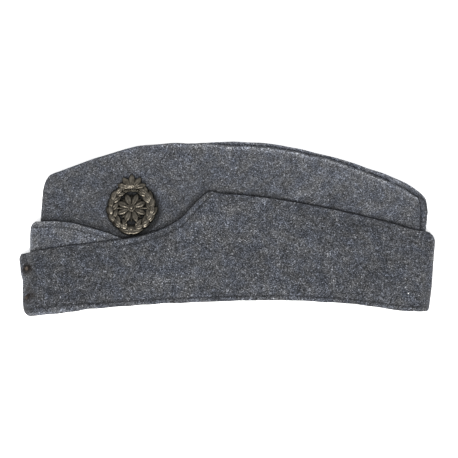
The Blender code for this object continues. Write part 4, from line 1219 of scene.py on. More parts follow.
# A cast leaf: points along and across, how blunt, wide and high its ends are and how it swells, how its top
# falls to its edges, the depth and width of its rib, its veins, how deep its back lies, how full its foot is
LEAF_POINTS = (15, 13)
LEAF_BLUNTNESS = 0.7
LEAF_END_WIDTH = 0.03
LEAF_END_HEIGHT = 0.45
LEAF_SWELL = 0.6
LEAF_FALL = 0.3
LEAF_EDGE_FALL = 0.45
LEAF_RIB_DEPTH = 0.26
LEAF_RIB_WIDTH = 0.14
LEAF_VEIN_DEPTH = 0.06
LEAF_VEINS_ALONG = 24.0
LEAF_VEINS_ACROSS = 7.0
LEAF_BACK = 0.0002
LEAF_FULLNESS = 0.8


def leaves(base, angle, length, width, height, bend, fullness=LEAF_FULLNESS):
    """Cast leaves, all at once, in the badge's plane: closed bodies with a flattish top and a flat back.

    At s along and t across, from -1 to 1, the half width goes with sin(pi s^fullness)^bluntness and the top
    with (e + (1 - e) sin(pi s)^swell) (1 - a t^2 - b t^6), less a narrow groove along the middle and veins.
    """
    s = np.linspace(0.0, 1.0, LEAF_POINTS[0])[:, None]
    t = np.sin(np.linspace(-np.pi / 2, np.pi / 2, LEAF_POINTS[1]))[None, :]
    arch = np.clip(np.sin(np.pi * s), 0.0, 1.0)
    half = 0.5 * (np.clip(np.sin(np.pi * s**fullness), 0.0, 1.0) ** LEAF_BLUNTNESS + LEAF_END_WIDTH)
    top = lifted_from(LEAF_END_HEIGHT, arch**LEAF_SWELL) * (1.0 - LEAF_FALL * t**2 - LEAF_EDGE_FALL * t**6)
    top = top - LEAF_RIB_DEPTH * bell(t, LEAF_RIB_WIDTH) * arch
    top = top + LEAF_VEIN_DEPTH * np.sin(LEAF_VEINS_ALONG * s + LEAF_VEINS_ACROSS * np.abs(t)) * (1.0 - t**2)
    angle, length, width, height, bend = (
        value[:, None, None] for value in np.broadcast_arrays(angle, length, width, height, bend)
    )
    ahead = length * s + 0.0 * t
    aside = width * half * t + bend * length * s**2
    x = np.cos(angle) * ahead - np.sin(angle) * aside + base[:, None, None, 0]
    y = np.sin(angle) * ahead + np.cos(angle) * aside + base[:, None, None, 1]
    foot = base[:, None, None, 2]
    over = np.stack((x, y, foot + height * top), -1)
    under = np.stack((x, y, foot - LEAF_BACK + 0.0 * x), -1)
    return joined([closed_sheet(*faces) for faces in zip(over, under)])


def turned(centre, profile, sides=20):
    """A body of revolution about an axis through centre, from a profile of radii and heights."""
    turn = circle(sides)
    radius, height = np.array(profile).T[..., None]
    ring = np.stack((radius * np.cos(turn), radius * np.sin(turn), height + 0.0 * turn), -1) + centre
    return ring.reshape(-1, 3), ring_quads(np.arange(ring.size // 3).reshape(1, -1, sides))


HOOP_POINTS = (96, 12)
HOOP_BACK = -0.3


def hoop(radius, wide, tall, base):
    """A ring of half-round wire lying in the badge's plane: radius + w cos a, base + h sin a."""
    turn, around = (circle(points) for points in HOOP_POINTS)
    reach = radius + wide * np.cos(around)
    level = base + tall * np.maximum(np.sin(around), HOOP_BACK)
    turn = turn[:, None]
    ring = np.stack((np.cos(turn) * reach, np.sin(turn) * reach, level + 0.0 * turn), -1)
    grid = np.arange(ring.size // 3).reshape(HOOP_POINTS)
    grid = np.pad(grid, ((0, 1), (0, 1)), mode="wrap")
    return ring.reshape(-1, 3), cells_of(grid)


def polar(degrees, radius, height=0.0):
    degrees, radius, height = np.broadcast_arrays(np.asarray(degrees, float), radius, height)
    angle = np.radians(degrees)
    return np.stack((radius * np.cos(angle), radius * np.sin(angle), height), -1)


# The wreath's bands: half width, height and base. Rows of leaves on a branch: their side of the ring, number,
# first place, turn outwards, lift and length. Then where the rows begin and how far they run, in degrees, how
# far apart they lie, and how their leaves vary.
WREATH_BANDS = ((0.0027, 0.0006, 0.0003), (0.0009, 0.0008, 0.0006))
WREATH_ROWS = (
    (-0.4, 7, 3.0, 19.0, 0.20, 1.12), (-1.0, 6, 12.0, -34.0, 0.30, 0.98), (0.0, 7, 9.0, 0.0, 0.85, 1.02),
)
WREATH_FOOT = -90.0
WREATH_RUN = 152.0
WREATH_ROW_SHIFT = 0.0006
WREATH_ASKEW = 4.0
WREATH_LENGTHS = (0.90, 1.04)
WREATH_BENDS = (0.06, 0.14)
WREATH_HEIGHTS = (0.85, 1.1)
WREATH_LEAF_WIDTH = 0.57
WREATH_LEAF_HEIGHT = 0.0018

# The two leaves at the foot, which start across it and bend up along the ring, and the beads of the tie
FOOT_PLACES = (-83.0, -97.0)
FOOT_WAYS = (-174.0, -6.0)
FOOT_BENDS = (-0.27, 0.27)
FOOT_OUTSET = 0.0026
FOOT_BASE = 0.0002
FOOT_LEAF = (0.0112, 0.0050, 0.0017)
TIE_PLACES = (-90.0, -83.5, -96.5)
TIE_BEADS = (0.0022, 0.00165, 0.00165)
TIE_OUTSET = 0.0003
TIE_LIFT = 0.4


def wreath():
    """The two branches: bundles of three broad leaves on a flat band, growing from a tied foot to the top."""
    parts = [hoop(BADGE_RADIUS, *band) for band in WREATH_BANDS]
    draw = np.random.default_rng(SEED_WREATH)
    for branch in (-1, 1):
        for aside, count, start, splay, lift, long in WREATH_ROWS:
            place = WREATH_FOOT + branch * (start + (WREATH_RUN - start) * np.arange(count) / count)
            way = place + branch * (90.0 - splay) + draw.normal(0.0, WREATH_ASKEW, count)
            base = polar(place, BADGE_RADIUS + aside * WREATH_ROW_SHIFT, lift * BADGE_STEM_HEIGHT)
            length = long * LEAF_LENGTH * draw.uniform(*WREATH_LENGTHS, count)
            bend = branch * draw.uniform(*WREATH_BENDS, count)
            high = WREATH_LEAF_HEIGHT * draw.uniform(*WREATH_HEIGHTS, count)
            parts.append(leaves(base, np.radians(way), length, WREATH_LEAF_WIDTH * length, high, bend))
    base = polar(FOOT_PLACES, BADGE_RADIUS + FOOT_OUTSET, FOOT_BASE)
    parts.append(leaves(base, np.radians(FOOT_WAYS), *FOOT_LEAF, FOOT_BENDS))
    tie = polar(TIE_PLACES, BADGE_RADIUS + TIE_OUTSET, TIE_LIFT * BADGE_STEM_HEIGHT)
    return parts + [turned(centre, bead(radius)) for centre, radius in zip(tie, TIE_BEADS)]


# A bead: the climb of its rings in degrees, its height and depth in radii, and its small flat top
BEAD_CLIMB = (0.0, 18.0, 38.0, 58.0, 76.0, 88.0)
BEAD_HEIGHT = 0.75
BEAD_DEPTH = 0.25
BEAD_TOP = 0.00004


def bead(radius):
    """Profile of a low round bead: r cos a and a share of r sin a, from its foot to a small flat top."""
    climb = np.radians(BEAD_CLIMB)
    dome = [(radius * np.cos(a) + BEAD_TOP, BEAD_HEIGHT * radius * np.sin(a)) for a in climb]
    return [(radius, -BEAD_DEPTH * radius), *dome]


# Petals: number, first place, reach, width, lift and height. The boss: its profile and its bead's height and
# radius. The ring of beads: number, reach, height, radius and sides. The bars: start, points, height, wire.
PETALS = ((8, 0.0, 0.0094, 0.0030, 0.10, 0.0012), (8, 22.5, 0.0106, 0.0050, 0.35, 0.0016))
PETAL_START = 0.0008
PETAL_FULLNESS = 1.25
BOSS = ((0.0031, 0.0), (0.0031, 0.0016), (0.0027, 0.0021), (0.0019, 0.0021))
BOSS_BEAD = (0.0020, 0.0017)
BEAD_RING = (12, 0.0025, 0.0021, 0.00042, 8)
BAR_START = 0.002
BAR_POINTS = 12
BAR_HEIGHT = 0.0006
BAR_RADIUS = 0.00075
BAR_SIDES = 10


def rosette():
    """The badge's middle: broad petals over narrow ones, a ring of beads and a boss, on two bars."""
    parts = []
    for count, start, reach, wide, lift, high in PETALS:
        angle = start + 360.0 * np.arange(count) / count
        base = polar(angle, PETAL_START, lift * BADGE_STEM_HEIGHT)
        parts.append(leaves(base, np.radians(angle), reach, wide, high, 0.0, PETAL_FULLNESS))
    parts.append(turned((0.0, 0.0, 0.0), BOSS))
    parts.append(turned((0.0, 0.0, BOSS_BEAD[0]), bead(BOSS_BEAD[1])))
    count, reach, height, radius, sides = BEAD_RING
    for centre in polar(360.0 * np.arange(count) / count, reach, height):
        parts.append(turned(centre, bead(radius), sides))
    for way in (0.0, 180.0):
        bar = polar(way, np.linspace(BAR_START, BADGE_RADIUS, BAR_POINTS), BAR_HEIGHT)[None]
        parts.append(tubes(bar, OUTWARDS, np.full((1, BAR_POINTS), BAR_RADIUS), BAR_SIDES))
    return parts


# Lobes of the palmette: place, spread, base and how much higher the middle one starts, number, length and
# what the outer ones lack, half of the fan's opening, width, height, bend, fullness. Then its beads and boss.
PALMETTE_INSET = 0.0012
PALMETTE_SPREAD = 0.0009
PALMETTE_BASE = (0.0003, 0.00025)
LOBES = 5
LOBE_LENGTH = (0.0111, 0.0010)
LOBE_FAN = 62.0
LOBE_WIDTH = 0.50
LOBE_HEIGHT = 0.0028
LOBE_BEND = -0.14
LOBE_FULLNESS = 1.3
BAND_BEADS = (66.0, 114.0, 9)
BAND_BEAD = (0.0136, 0.0008, 0.00085, 12)
PALMETTE_BOSS = (0.0, 0.0022, 0.0006)
PALMETTE_BOSS_RADIUS = 0.0021


def palmette():
    """The fan on top of the wreath: five ribbed lobes on a band of beads, with a boss at their foot."""
    crest = polar(90.0, BADGE_RADIUS - PALMETTE_INSET)
    aside = np.linspace(-1.0, 1.0, LOBES)
    level = PALMETTE_BASE[0] + PALMETTE_BASE[1] * (1 - np.abs(aside))
    base = np.stack((PALMETTE_SPREAD * aside, 0 * aside + crest[1], level), -1)
    length = LOBE_LENGTH[0] - LOBE_LENGTH[1] * np.abs(aside)
    way = np.radians(90.0 - LOBE_FAN * aside)
    parts = [leaves(base, way, length, LOBE_WIDTH * length, LOBE_HEIGHT, LOBE_BEND * aside, LOBE_FULLNESS)]
    reach, height, radius, sides = BAND_BEAD
    for centre in polar(np.linspace(*BAND_BEADS), reach, height):
        parts.append(turned(centre, bead(radius), sides))
    return [*parts, turned(crest + PALMETTE_BOSS, bead(PALMETTE_BOSS_RADIUS))]


LUG_STEPS = 15
LUG_SIDES = 8


def lugs():
    """The two wire staples under the wreath, which go through the cloth to the pin."""
    half = LUG_WIDTH / 2
    depth = 2 * CLEARANCE + CROWN_CLOTH + PIN_RADIUS
    bend = depth + CLEARANCE + PIN_RADIUS + LUG_WIRE - half
    turn = np.radians(np.linspace(0.0, -180.0, LUG_STEPS))
    above = np.concatenate(((half,), half * np.cos(turn), (-half,)))
    out = np.concatenate(((BADGE_STEM_HEIGHT / 2,), half * np.sin(turn) - bend, (BADGE_STEM_HEIGHT / 2,)))
    paths = np.stack([np.stack((0 * above + side * BADGE_RADIUS, above, out), -1) for side in (-1, 1)])
    return [tubes(paths, (1.0, 0.0, 0.0), np.full(paths.shape[:2], LUG_WIRE), LUG_SIDES)]


RAISED_FULLY = 0.0024


def badge(finish):
    """The badge, moved from its own plane to its flat bed on the crown: origin + x right + y up + z out."""
    points, quads = joined(wreath() + rosette() + palmette() + lugs())
    height, slope_x, slope_y = (float(value) for value in badge_slopes())
    out = unit(np.array((-slope_x, -slope_y, 1.0)))
    right = unit(np.array((1.0, 0.0, slope_x)))
    frame_axes = np.stack((right, np.cross(out, right), out))
    origin = np.array((x_of(BADGE_ALONG), y_of(BADGE_UP), height + CLEARANCE))
    raised = np.clip(points[:, 2] / RAISED_FULLY, 0.0, 1.0)
    return mesh_piece("badge_cast", points @ frame_axes + origin, quads, finish, {"raised": raised})


def curtain_face(x, y):
    """Z of the curtain's upper face, its front fold included."""
    level = (y - hem_line(x)) / (curtain_line(x) - hem_line(x))
    reach = CURTAIN_CLOTH + FOLD_HOLLOW
    over = np.clip((curtain_front(level) + reach - x) / reach, 0.0, 1.0)
    return middle(x, y) + curtain_outer(x, y) * np.sqrt(1.0 - over**2)


# Lumps of thread: height, number of loops, spread along a slant, least and greatest reach of a loop in knot
# radii, free ends, the place and radius of the paler part of the lump, and how dark even that part is
TANGLES = (
    ("upper", KNOT_UPPER_UP, 18, 0.0004, 0.12, 0.95, 5, (-0.0005, 0.0001, 0.0011), 0.0),
    ("lower", KNOT_LOWER_UP, 12, 0.0022, 0.12, 0.50, 4, (-0.0009, -0.0010, 0.0013), 0.45),
)
TANGLE_STEPS = 30
TANGLE_SHIFT = -0.0005

# Loops: turns, where one starts, how much and how often its reach varies, how flat and slanting it is, how
# the loops spread, and their lowest, highest and varying height in lump heights, which falls off outwards
LOOP_TURNS = (0.6, 1.3)
LOOP_START = 6.3
LOOP_REACH_VARIES = 0.22
LOOP_REACH_WAVES = 2.3
LOOP_SQUEEZE = (0.4, 1.0)
LOOP_SLANT = 42.0
LOOP_SLANT_SPREAD = 0.7
LOOP_SPREAD = 0.7
LOOP_SCATTER = 0.00015
LOOP_LOW = 0.06
LOOP_HIGH = 0.45
LOOP_HEIGHT_VARIES = 0.18
LOOP_FALL = 0.55

# Free ends: how far they bend round, their start and reach in lump radii, height, arch and taper
END_BEND = 1.6
END_START = 0.3
END_REACH = (0.7, 1.3)
END_HEIGHT = 0.0003
END_ARCH = 0.0005
END_ARCHES = (0.2, 1.0)
END_TAPER = (0.75, 0.4)

# The thread: how deep it sits in its dimple, its radius, how much that varies, and how it darkens outwards
TANGLE_SUNK = 0.9
TANGLE_THREAD = 0.00022
TANGLE_THREADS = (0.6, 1.25)
DARK_THREAD_RUN = 0.0006


def thread_tangle(name, up, loops, long, least, most, ends, pale, dark, finish):
    """Worn thread drawn tight in a dimple: circles that drift as they go round, and free ends."""
    draw = np.random.default_rng(loops)
    each, end = (loops, 1), (ends, 1)
    s = np.linspace(0.0, 1.0, TANGLE_STEPS)
    turn = s * 2 * np.pi * draw.uniform(*LOOP_TURNS, each) + draw.uniform(0, LOOP_START, each)
    reach = KNOT_RADIUS * draw.uniform(least, most, each)
    reach = reach * (1.0 + LOOP_REACH_VARIES * np.sin(LOOP_REACH_WAVES * turn + loops))
    squeeze = draw.uniform(*LOOP_SQUEEZE, each)
    tilt = draw.normal(np.radians(LOOP_SLANT), LOOP_SLANT_SPREAD, each)
    shift = LOOP_SPREAD * long * draw.uniform(-1.0, 1.0, each) + LOOP_SCATTER * draw.normal(size=each)
    a, b = reach * np.cos(turn), reach * squeeze * np.sin(turn)
    aside = a * np.cos(tilt) - b * np.sin(tilt) + shift
    above = a * np.sin(tilt) + b * np.cos(tilt) + shift
    height = LOOP_LOW + draw.uniform(0.0, LOOP_HIGH, each) + LOOP_HEIGHT_VARIES * np.sin(turn + 2 * tilt)
    height = KNOT_HEIGHT * height * (1.0 - LOOP_FALL * (reach / KNOT_RADIUS) ** 2)

    bearing = draw.uniform(0.0, 2 * np.pi, end) + draw.uniform(-END_BEND, END_BEND, end) * s
    stride = KNOT_RADIUS * (END_START + draw.uniform(*END_REACH, end) * s)
    aside = np.concatenate((aside, stride * np.cos(bearing)))
    above = np.concatenate((above, stride * np.sin(bearing)))
    arch = END_ARCH * np.sin(np.pi * s) * draw.uniform(*END_ARCHES, end)
    height = np.concatenate((height, END_HEIGHT + arch))

    x, y = x_of(0.0) + KNOT_INSET + TANGLE_SHIFT + aside, y_of(up) + above
    pulled = TANGLE_SUNK * KNOT_DIMPLE * bell(np.hypot(aside, above), KNOT_DIMPLE_REACH)
    paths = np.stack((x, y, curtain_face(x, y) - pulled + height), -1)
    radius = TANGLE_THREAD * draw.uniform(*TANGLE_THREADS, (loops + ends, 1)) * np.ones(TANGLE_STEPS)
    radius[loops:] *= END_TAPER[0] - END_TAPER[1] * s
    outer = np.hypot(aside - pale[0], above - pale[1]) - pale[2]
    dark_share = np.repeat(rises(outer, 0.0, DARK_THREAD_RUN, dark).ravel(), THREAD_SIDES)
    return mesh_piece(name, *tubes(paths, OUTWARDS, radius, THREAD_SIDES), finish, {"dark_share": dark_share})


# Bits of pale lint: shares of the cap's length and height, and their radius. Then the form of each.
LINT = ((0.9266, 0.169, 0.00025), (0.9330, 0.134, 0.00044))
LINT_STEEPNESS = 80.0
LINT_RINGS = 9
LINT_SIDES = 12
LINT_UP = 0.7


def lint(finish):
    """Tiny balls of pale fluff: bodies of revolution that lie on the curtain."""
    parts = []
    climb = np.radians(np.linspace(-LINT_STEEPNESS, LINT_STEEPNESS, LINT_RINGS))
    for along, up, radius in LINT:
        x, y = x_of(along), y_of(CAP_HEIGHT * up)
        z = curtain_face(np.array(x), np.array(y)) + LINT_UP * radius
        ball = radius * np.stack((np.cos(climb), np.sin(climb)), -1)
        parts.append(turned((x, y, float(z)), ball, LINT_SIDES))
    return mesh_piece("lint", *joined(parts), finish)


def add_node(tree, kind, settings, sockets):
    """A node with its settings, and its sockets set to a value or linked to another node's output."""
    made = tree.nodes.new(kind)
    for key, value in settings.items():
        setattr(made, key, value)
    for key, value in sockets.items():
        if isinstance(value, bpy.types.NodeSocket):
            tree.links.new(value, made.inputs[key])
        else:
            made.inputs[key].default_value = value
    return made


def noise(tree, vector, scale, detail=2.0, roughness=0.5):
    sockets = {"Vector": vector, "Scale": scale, "Detail": detail, "Roughness": roughness}
    return add_node(tree, "ShaderNodeTexNoise", {}, sockets).outputs["Fac"]


def stretched(tree, vector, degrees, scale, shift):
    """A vector turned about Z, then scaled by its own amount along each axis, for long thin marks."""
    sockets = {"Vector": vector, "Angle": np.radians(degrees)}
    turned_vector = add_node(tree, "ShaderNodeVectorRotate", {"rotation_type": "Z_AXIS"}, sockets)
    sockets = {"Vector": turned_vector.outputs["Vector"], "Location": (shift, shift, shift), "Scale": scale}
    return add_node(tree, "ShaderNodeMapping", {}, sockets).outputs["Vector"]


def math(tree, operation, first, second=0.0):
    return add_node(tree, "ShaderNodeMath", {"operation": operation}, {0: first, 1: second}).outputs[0]


def times(tree, first, second):
    return math(tree, "MULTIPLY", first, second)


def plus(tree, first, second):
    return math(tree, "ADD", first, second)


def span(tree, value, low, high, to_low=0.0, to_high=1.0):
    """A value from low to high as one from to_low to to_high, eased and held at its ends."""
    settings = {"interpolation_type": "SMOOTHSTEP"}
    sockets = {"Value": value, "From Min": low, "From Max": high, "To Min": to_low, "To Max": to_high}
    return add_node(tree, "ShaderNodeMapRange", settings, sockets).outputs["Result"]


def blend(tree, share, first, second, way="MIX"):
    """Two colours mixed by a share."""
    settings = {"data_type": "RGBA", "blend_type": way}
    return add_node(tree, "ShaderNodeMix", settings, {0: share, 6: first, 7: second}).outputs[2]


def attribute(tree, name, output="Fac"):
    return add_node(tree, "ShaderNodeAttribute", {"attribute_name": name}, {}).outputs[output]


def object_place(tree):
    return tree.nodes.new("ShaderNodeTexCoord").outputs["Object"]


def tinted(level, colour):
    """A linear colour times a level."""
    return (*(level * part for part in colour), 1.0)


def grey(level, warmth=0.0):
    """A linear colour of a level, bluish for a warmth below 0 and brownish above it."""
    return tinted(level, (1.0 + warmth, 1.0, 1.0 - warmth))


def new_material(name, **inputs):
    """A material and its nodes. The shader's inputs are named with _ for a space."""
    made = bpy.data.materials.new(name)
    made.use_nodes = True
    shader = made.node_tree.nodes["Principled BSDF"]
    for key, value in inputs.items():
        shader.inputs[key.replace("_", " ")].default_value = value
    return made, made.node_tree


def finished(made, colour, height=None, strength=0.0, distance=0.0):
    """The material with its colour and, where it has a height, with a fine relief."""
    tree = made.node_tree
    shader = tree.nodes["Principled BSDF"]
    tree.links.new(colour, shader.inputs["Base Color"])
    if height is not None:
        sockets = {"Height": height, "Strength": strength, "Distance": distance}
        bump = add_node(tree, "ShaderNodeBump", {}, sockets)
        tree.links.new(bump.outputs["Normal"], shader.inputs["Normal"])
    return made


# Tones of the wool: noises per metre, their detail, how strongly they count, and whether their place is bent
WOOL_TONES = (
    (1500.0, 2.0, 7.6, True), (900.0, 1.0, 2.1, True), (400.0, 1.0, 1.2, True),
    (130.0, 2.0, 1.2, False), (42.0, 2.0, 0.7, False),
)
WOOL_ROUGHNESS = 0.6
WOOL_BEND_SCALE = 420.0
WOOL_BEND = (0.0016, 0.0016, 0.0016)

# Fibres that show: their ways in degrees, fineness along each axis, and what makes each way's noise another.
# For pale and dark ones: a further turn and shift, where a mark starts and is full, and how much it counts.
FIBRE_WAYS = (12.0, 57.0, 98.0, 149.0)
FIBRE_FINENESS = (460.0, 2400.0, 1400.0)
FIBRE_SHIFT = 3.1
FIBRES_PALE = (0.0, 0.0, 0.60, 0.70)
FIBRES_DARK = (20.0, 7.7, 0.60, 0.72)
WOOL_PALE = 0.50
WOOL_DARK = 0.55

# The wool's two hues and where one turns into the other, how its grain breaks up wear and painted light,
# painted shade and grime, and dark spots, the colours of the last two, and its relief: what grain and fibres
# add to it, and its strength and depth
WOOL_BLUE = (0.80, 0.88, 1.08)
WOOL_BROWN = (1.01, 1.03, 1.09)
WOOL_HUES = (95.0, 3.0, 0.6)
WOOL_HUES_MEET = (0.30, 0.70)
WEAR_AND_LIGHT_BROKEN = (0.38, 0.62, 0.55, 0.85)
SHADE_AND_GRIME_BROKEN = (0.35, 0.65, 1.0, 0.7)
DARK_SPOT_BROKEN = (0.30, 0.65, 1.0, 0.75)
SHADE_AND_GRIME_COLOUR = (0.22, -0.05)
DARK_SPOT_COLOUR = (0.007, 0.005, 0.004, 1.0)
RELIEF_GRAIN = 0.9
RELIEF_PALE = 0.35
RELIEF_DARK = 0.30
WOOL_RELIEF = (0.8, 0.00045)


def fibre_marks(tree, place, turn, shift, low, high):
    """Thin straight marks along several ways: at each place, the strongest of as many stretched noises."""
    strongest = None
    for number, degrees in enumerate(FIBRE_WAYS):
        marks = stretched(tree, place, degrees + turn, FIBRE_FINENESS, FIBRE_SHIFT * number + shift)
        mark = span(tree, noise(tree, marks, 1.0, 1.0), low, high)
        strongest = mark if strongest is None else math(tree, "MAXIMUM", strongest, mark)
    return strongest


def wool(name, level, contrast):
    """Heathered, napped wool: level e^(a sum of noises), with pale and dark fibres, dark spots, wear, painted
    light, and painted shade and grime.
    """
    made, tree = new_material(
        name, Roughness=0.95, Sheen_Weight=0.05, Sheen_Roughness=0.5, Specular_IOR_Level=0.12
    )
    place = attribute(tree, "cloth", "Vector")
    sockets = {"Vector": place, "Scale": WOOL_BEND_SCALE, "Detail": 1.0}
    wander = add_node(tree, "ShaderNodeTexNoise", {}, sockets).outputs["Color"]
    sockets = {0: wander, 1: WOOL_BEND, 2: place}
    bent = add_node(tree, "ShaderNodeVectorMath", {"operation": "MULTIPLY_ADD"}, sockets).outputs["Vector"]
    pale, dark = (fibre_marks(tree, bent, *kind) for kind in (FIBRES_PALE, FIBRES_DARK))
    tone, grain = 0.0, None
    for scale, detail, strength, is_bent in WOOL_TONES:
        cloud = noise(tree, bent if is_bent else place, scale, detail, WOOL_ROUGHNESS)
        grain = grain or cloud
        tone = plus(tree, tone, times(tree, math(tree, "SUBTRACT", cloud, 0.5), strength))
    tone = plus(tree, tone, times(tree, pale, WOOL_PALE))
    tone = math(tree, "SUBTRACT", tone, times(tree, dark, WOOL_DARK))
    worn_and_lit, shade_and_grime_share, dark_spot_share = (
        times(tree, attribute(tree, mark), span(tree, grain, *broken))
        for mark, broken in (("wear_and_light", WEAR_AND_LIGHT_BROKEN), ("shade_and_grime", SHADE_AND_GRIME_BROKEN), ("dark_spots", DARK_SPOT_BROKEN))
    )
    # Wear and painted light and shade shift the level of the wool
    depth = math(tree, "EXPONENT", plus(tree, times(tree, tone, contrast), worn_and_lit))
    hues = span(tree, noise(tree, place, *WOOL_HUES), *WOOL_HUES_MEET)
    colour = blend(tree, hues, tinted(level, WOOL_BLUE), tinted(level, WOOL_BROWN))
    colour = blend(tree, 1.0, colour, depth, "MULTIPLY")
    # Painted shade and grime: a dark bluish grey; then the dark spots round the thread
    colour = blend(tree, shade_and_grime_share, colour, grey(SHADE_AND_GRIME_COLOUR[0] * level, SHADE_AND_GRIME_COLOUR[1]))
    colour = blend(tree, dark_spot_share, colour, DARK_SPOT_COLOUR)
    relief_height = plus(tree, times(tree, grain, RELIEF_GRAIN), times(tree, pale, RELIEF_PALE))
    relief_height = math(tree, "SUBTRACT", relief_height, times(tree, dark, RELIEF_DARK))
    return finished(made, colour, relief_height, *WOOL_RELIEF)


HAIR_DARK = grey(0.018, -0.12)
HAIR_PALE = grey(0.20, -0.05)
HAIR_SHADES = (0.30, 1.0)


def hair():
    """Single wool fibres, from dark slate to nearly white, one shade for each."""
    made, tree = new_material("loose wool fibres", Roughness=0.75, Specular_IOR_Level=0.3)
    shade = span(tree, attribute(tree, "shade"), *HAIR_SHADES)
    return finished(made, blend(tree, shade, HAIR_DARK, HAIR_PALE))


# The badge's metal: its pits and clouds, where relief and clouds leave it rubbed, its three colours, how
# rough its pits make it, and its relief
METAL_PITS = (1500.0, 4.0, 0.6)
METAL_CLOUDS = (260.0, 3.0, 0.5)
RUB_BY_RELIEF = (0.35, 0.95)
RUB_BY_CLOUDS = (0.30, 0.68, 0.35, 1.0)
METAL_HUES_MEET = (0.35, 0.70)
METAL_BLACK = (0.010, 0.009, 0.007)
METAL_BROWN = (0.028, 0.026, 0.021)
METAL_RUBBED = (0.140, 0.126, 0.103)
METAL_ROUGHNESS = (0.30, 0.72, 0.24, 0.48)
METAL_RELIEF = (0.7, 0.00015)


def metal(name, level):
    """Darkened brass: brown-black in the hollows, rubbed on what stands out, and pitted."""
    made, tree = new_material(name, Metallic=1.0)
    place = object_place(tree)
    pits, clouds = noise(tree, place, *METAL_PITS), noise(tree, place, *METAL_CLOUDS)
    raised = span(tree, attribute(tree, "raised"), *RUB_BY_RELIEF)
    rub = times(tree, raised, span(tree, clouds, *RUB_BY_CLOUDS))
    hues = span(tree, clouds, *METAL_HUES_MEET)
    colour = blend(tree, hues, tinted(level, METAL_BLACK), tinted(level, METAL_BROWN))
    colour = blend(tree, rub, colour, tinted(level, METAL_RUBBED))
    roughness = tree.nodes["Principled BSDF"].inputs["Roughness"]
    tree.links.new(span(tree, pits, *METAL_ROUGHNESS), roughness)
    return finished(made, colour, pits, *METAL_RELIEF)


# Sewing thread: the turn and fineness of its plies, where its two shades meet, its dark colour, its relief
PLY_TURN = 35.0
PLY_FINENESS = (2600.0, 900.0, 1800.0)
PLIES_MEET = (0.35, 0.65)
DARK_THREAD_COLOUR = (0.006, 0.004, 0.003, 1.0)
THREAD_RELIEF = (0.6, 0.0001)


def thread(name, colour, other):
    """Twisted sewing thread: two shades in fine slanting bands, with a fibrous surface."""
    made, tree = new_material(name, Roughness=0.85, Specular_IOR_Level=0.2)
    plies = noise(tree, stretched(tree, object_place(tree), PLY_TURN, PLY_FINENESS, 0.0), 1.0, 2.0)
    mixed = blend(tree, span(tree, plies, *PLIES_MEET), (*colour, 1.0), (*other, 1.0))
    mixed = blend(tree, attribute(tree, "dark_share"), mixed, DARK_THREAD_COLOUR)
    return finished(made, mixed, plies, *THREAD_RELIEF)


FLUFF_SCALE = 4000.0
FLUFF_DARK = grey(0.72)
FLUFF_PALE = grey(0.95)


def fluff():
    made, tree = new_material("pale lint", Roughness=0.9)
    return finished(made, blend(tree, noise(tree, object_place(tree), FLUFF_SCALE), FLUFF_DARK, FLUFF_PALE))


NAP_PAST_EDGE = 0.0015


def shown_share(grid, line):
    """1 for the points of a grid that show: off the floor and, where there is a line, above it."""
    shown = grid[..., 2] >= NAP_CLEAR_OF_FLOOR
    if line is not None:
        shown = shown & (grid[..., 1] >= line(grid[..., 0]) + NAP_PAST_EDGE)
    return shown.astype(float)


# Wools: level and contrast. Threads: two colours. Loose fibres: how many, and the seed of their draw.
CROWN_WOOL = (0.0412, 0.95)
CURTAIN_WOOL = (0.0348, 1.13)
PEAK_WOOL = (0.0585, 1.04)
BRASS_LEVEL = 0.93
BROWN_THREAD = ((0.110, 0.088, 0.072), (0.026, 0.019, 0.015))
SLATE_THREAD = ((0.014, 0.015, 0.018), (0.030, 0.032, 0.037))
CROWN_LEFT_NAP = (6500, 41)
CROWN_RIGHT_NAP = (3500, 42)
CURTAIN_NAP = (6900, 43)
PEAK_NAP = (1200, 44)


def dress_cap():
    """All the pieces of the cap, each in place of the solids that it stands for."""
    crown_wool = wool("crown wool", *CROWN_WOOL)
    curtain_wool = wool("curtain wool", *CURTAIN_WOOL)
    peak_wool = wool("peak wool", *PEAK_WOOL)
    brass = metal("darkened brass", BRASS_LEVEL)
    brown = thread("brown thread", *BROWN_THREAD)
    slate = thread("slate thread", *SLATE_THREAD)
    fibres = hair()

    left, left_grid = crown_half("crown_left_cloth", "left", 1, crown_wool)
    right, right_grid = crown_half("crown_right_cloth", "right", -1, crown_wool)
    front, peak_grid = peak(peak_wool)
    flap, curtain_outer_grid = curtain(curtain_wool)
    for made, node in ((left, "crown_left"), (right, "crown_right"), (front, "peak"), (flap, "curtain")):
        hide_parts(node)
    cast = badge(brass)
    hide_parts("badge")
    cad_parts["badge_pin"].data.materials.clear()
    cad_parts["badge_pin"].data.materials.append(brass)
    for word, *measures in TANGLES:
        tangle = thread_tangle(f"thread_tangle_{word}", *measures, brown)
        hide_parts(f"front_knot_{word}")

    sewn = stitches("seam_stitches", (
        stitch_places(curtain_outer_grid[:, :len(HEM_ROWS)], HEM_ROWS, STITCH_FROM_HEM),
        stitch_places(curtain_outer_grid[:, -len(EDGE_ROWS):], EDGE_ROWS, STITCH_FROM_EDGE),
        stitch_places(peak_grid[:, -len(EDGE_ROWS):], EDGE_ROWS, STITCH_FROM_PEAK_EDGE),
    ), slate)
    for name, grid, line, amount in (
        ("crown_left_nap", left_grid, curtain_line, CROWN_LEFT_NAP),
        ("crown_right_nap", right_grid, curtain_line, CROWN_RIGHT_NAP),
        ("curtain_nap", curtain_outer_grid, None, CURTAIN_NAP),
        ("peak_nap", peak_grid, curtain_line, PEAK_NAP),
    ):
        hairs = nap(name, grid, shown_share(grid, line), *amount, fibres)
    lint(fluff())


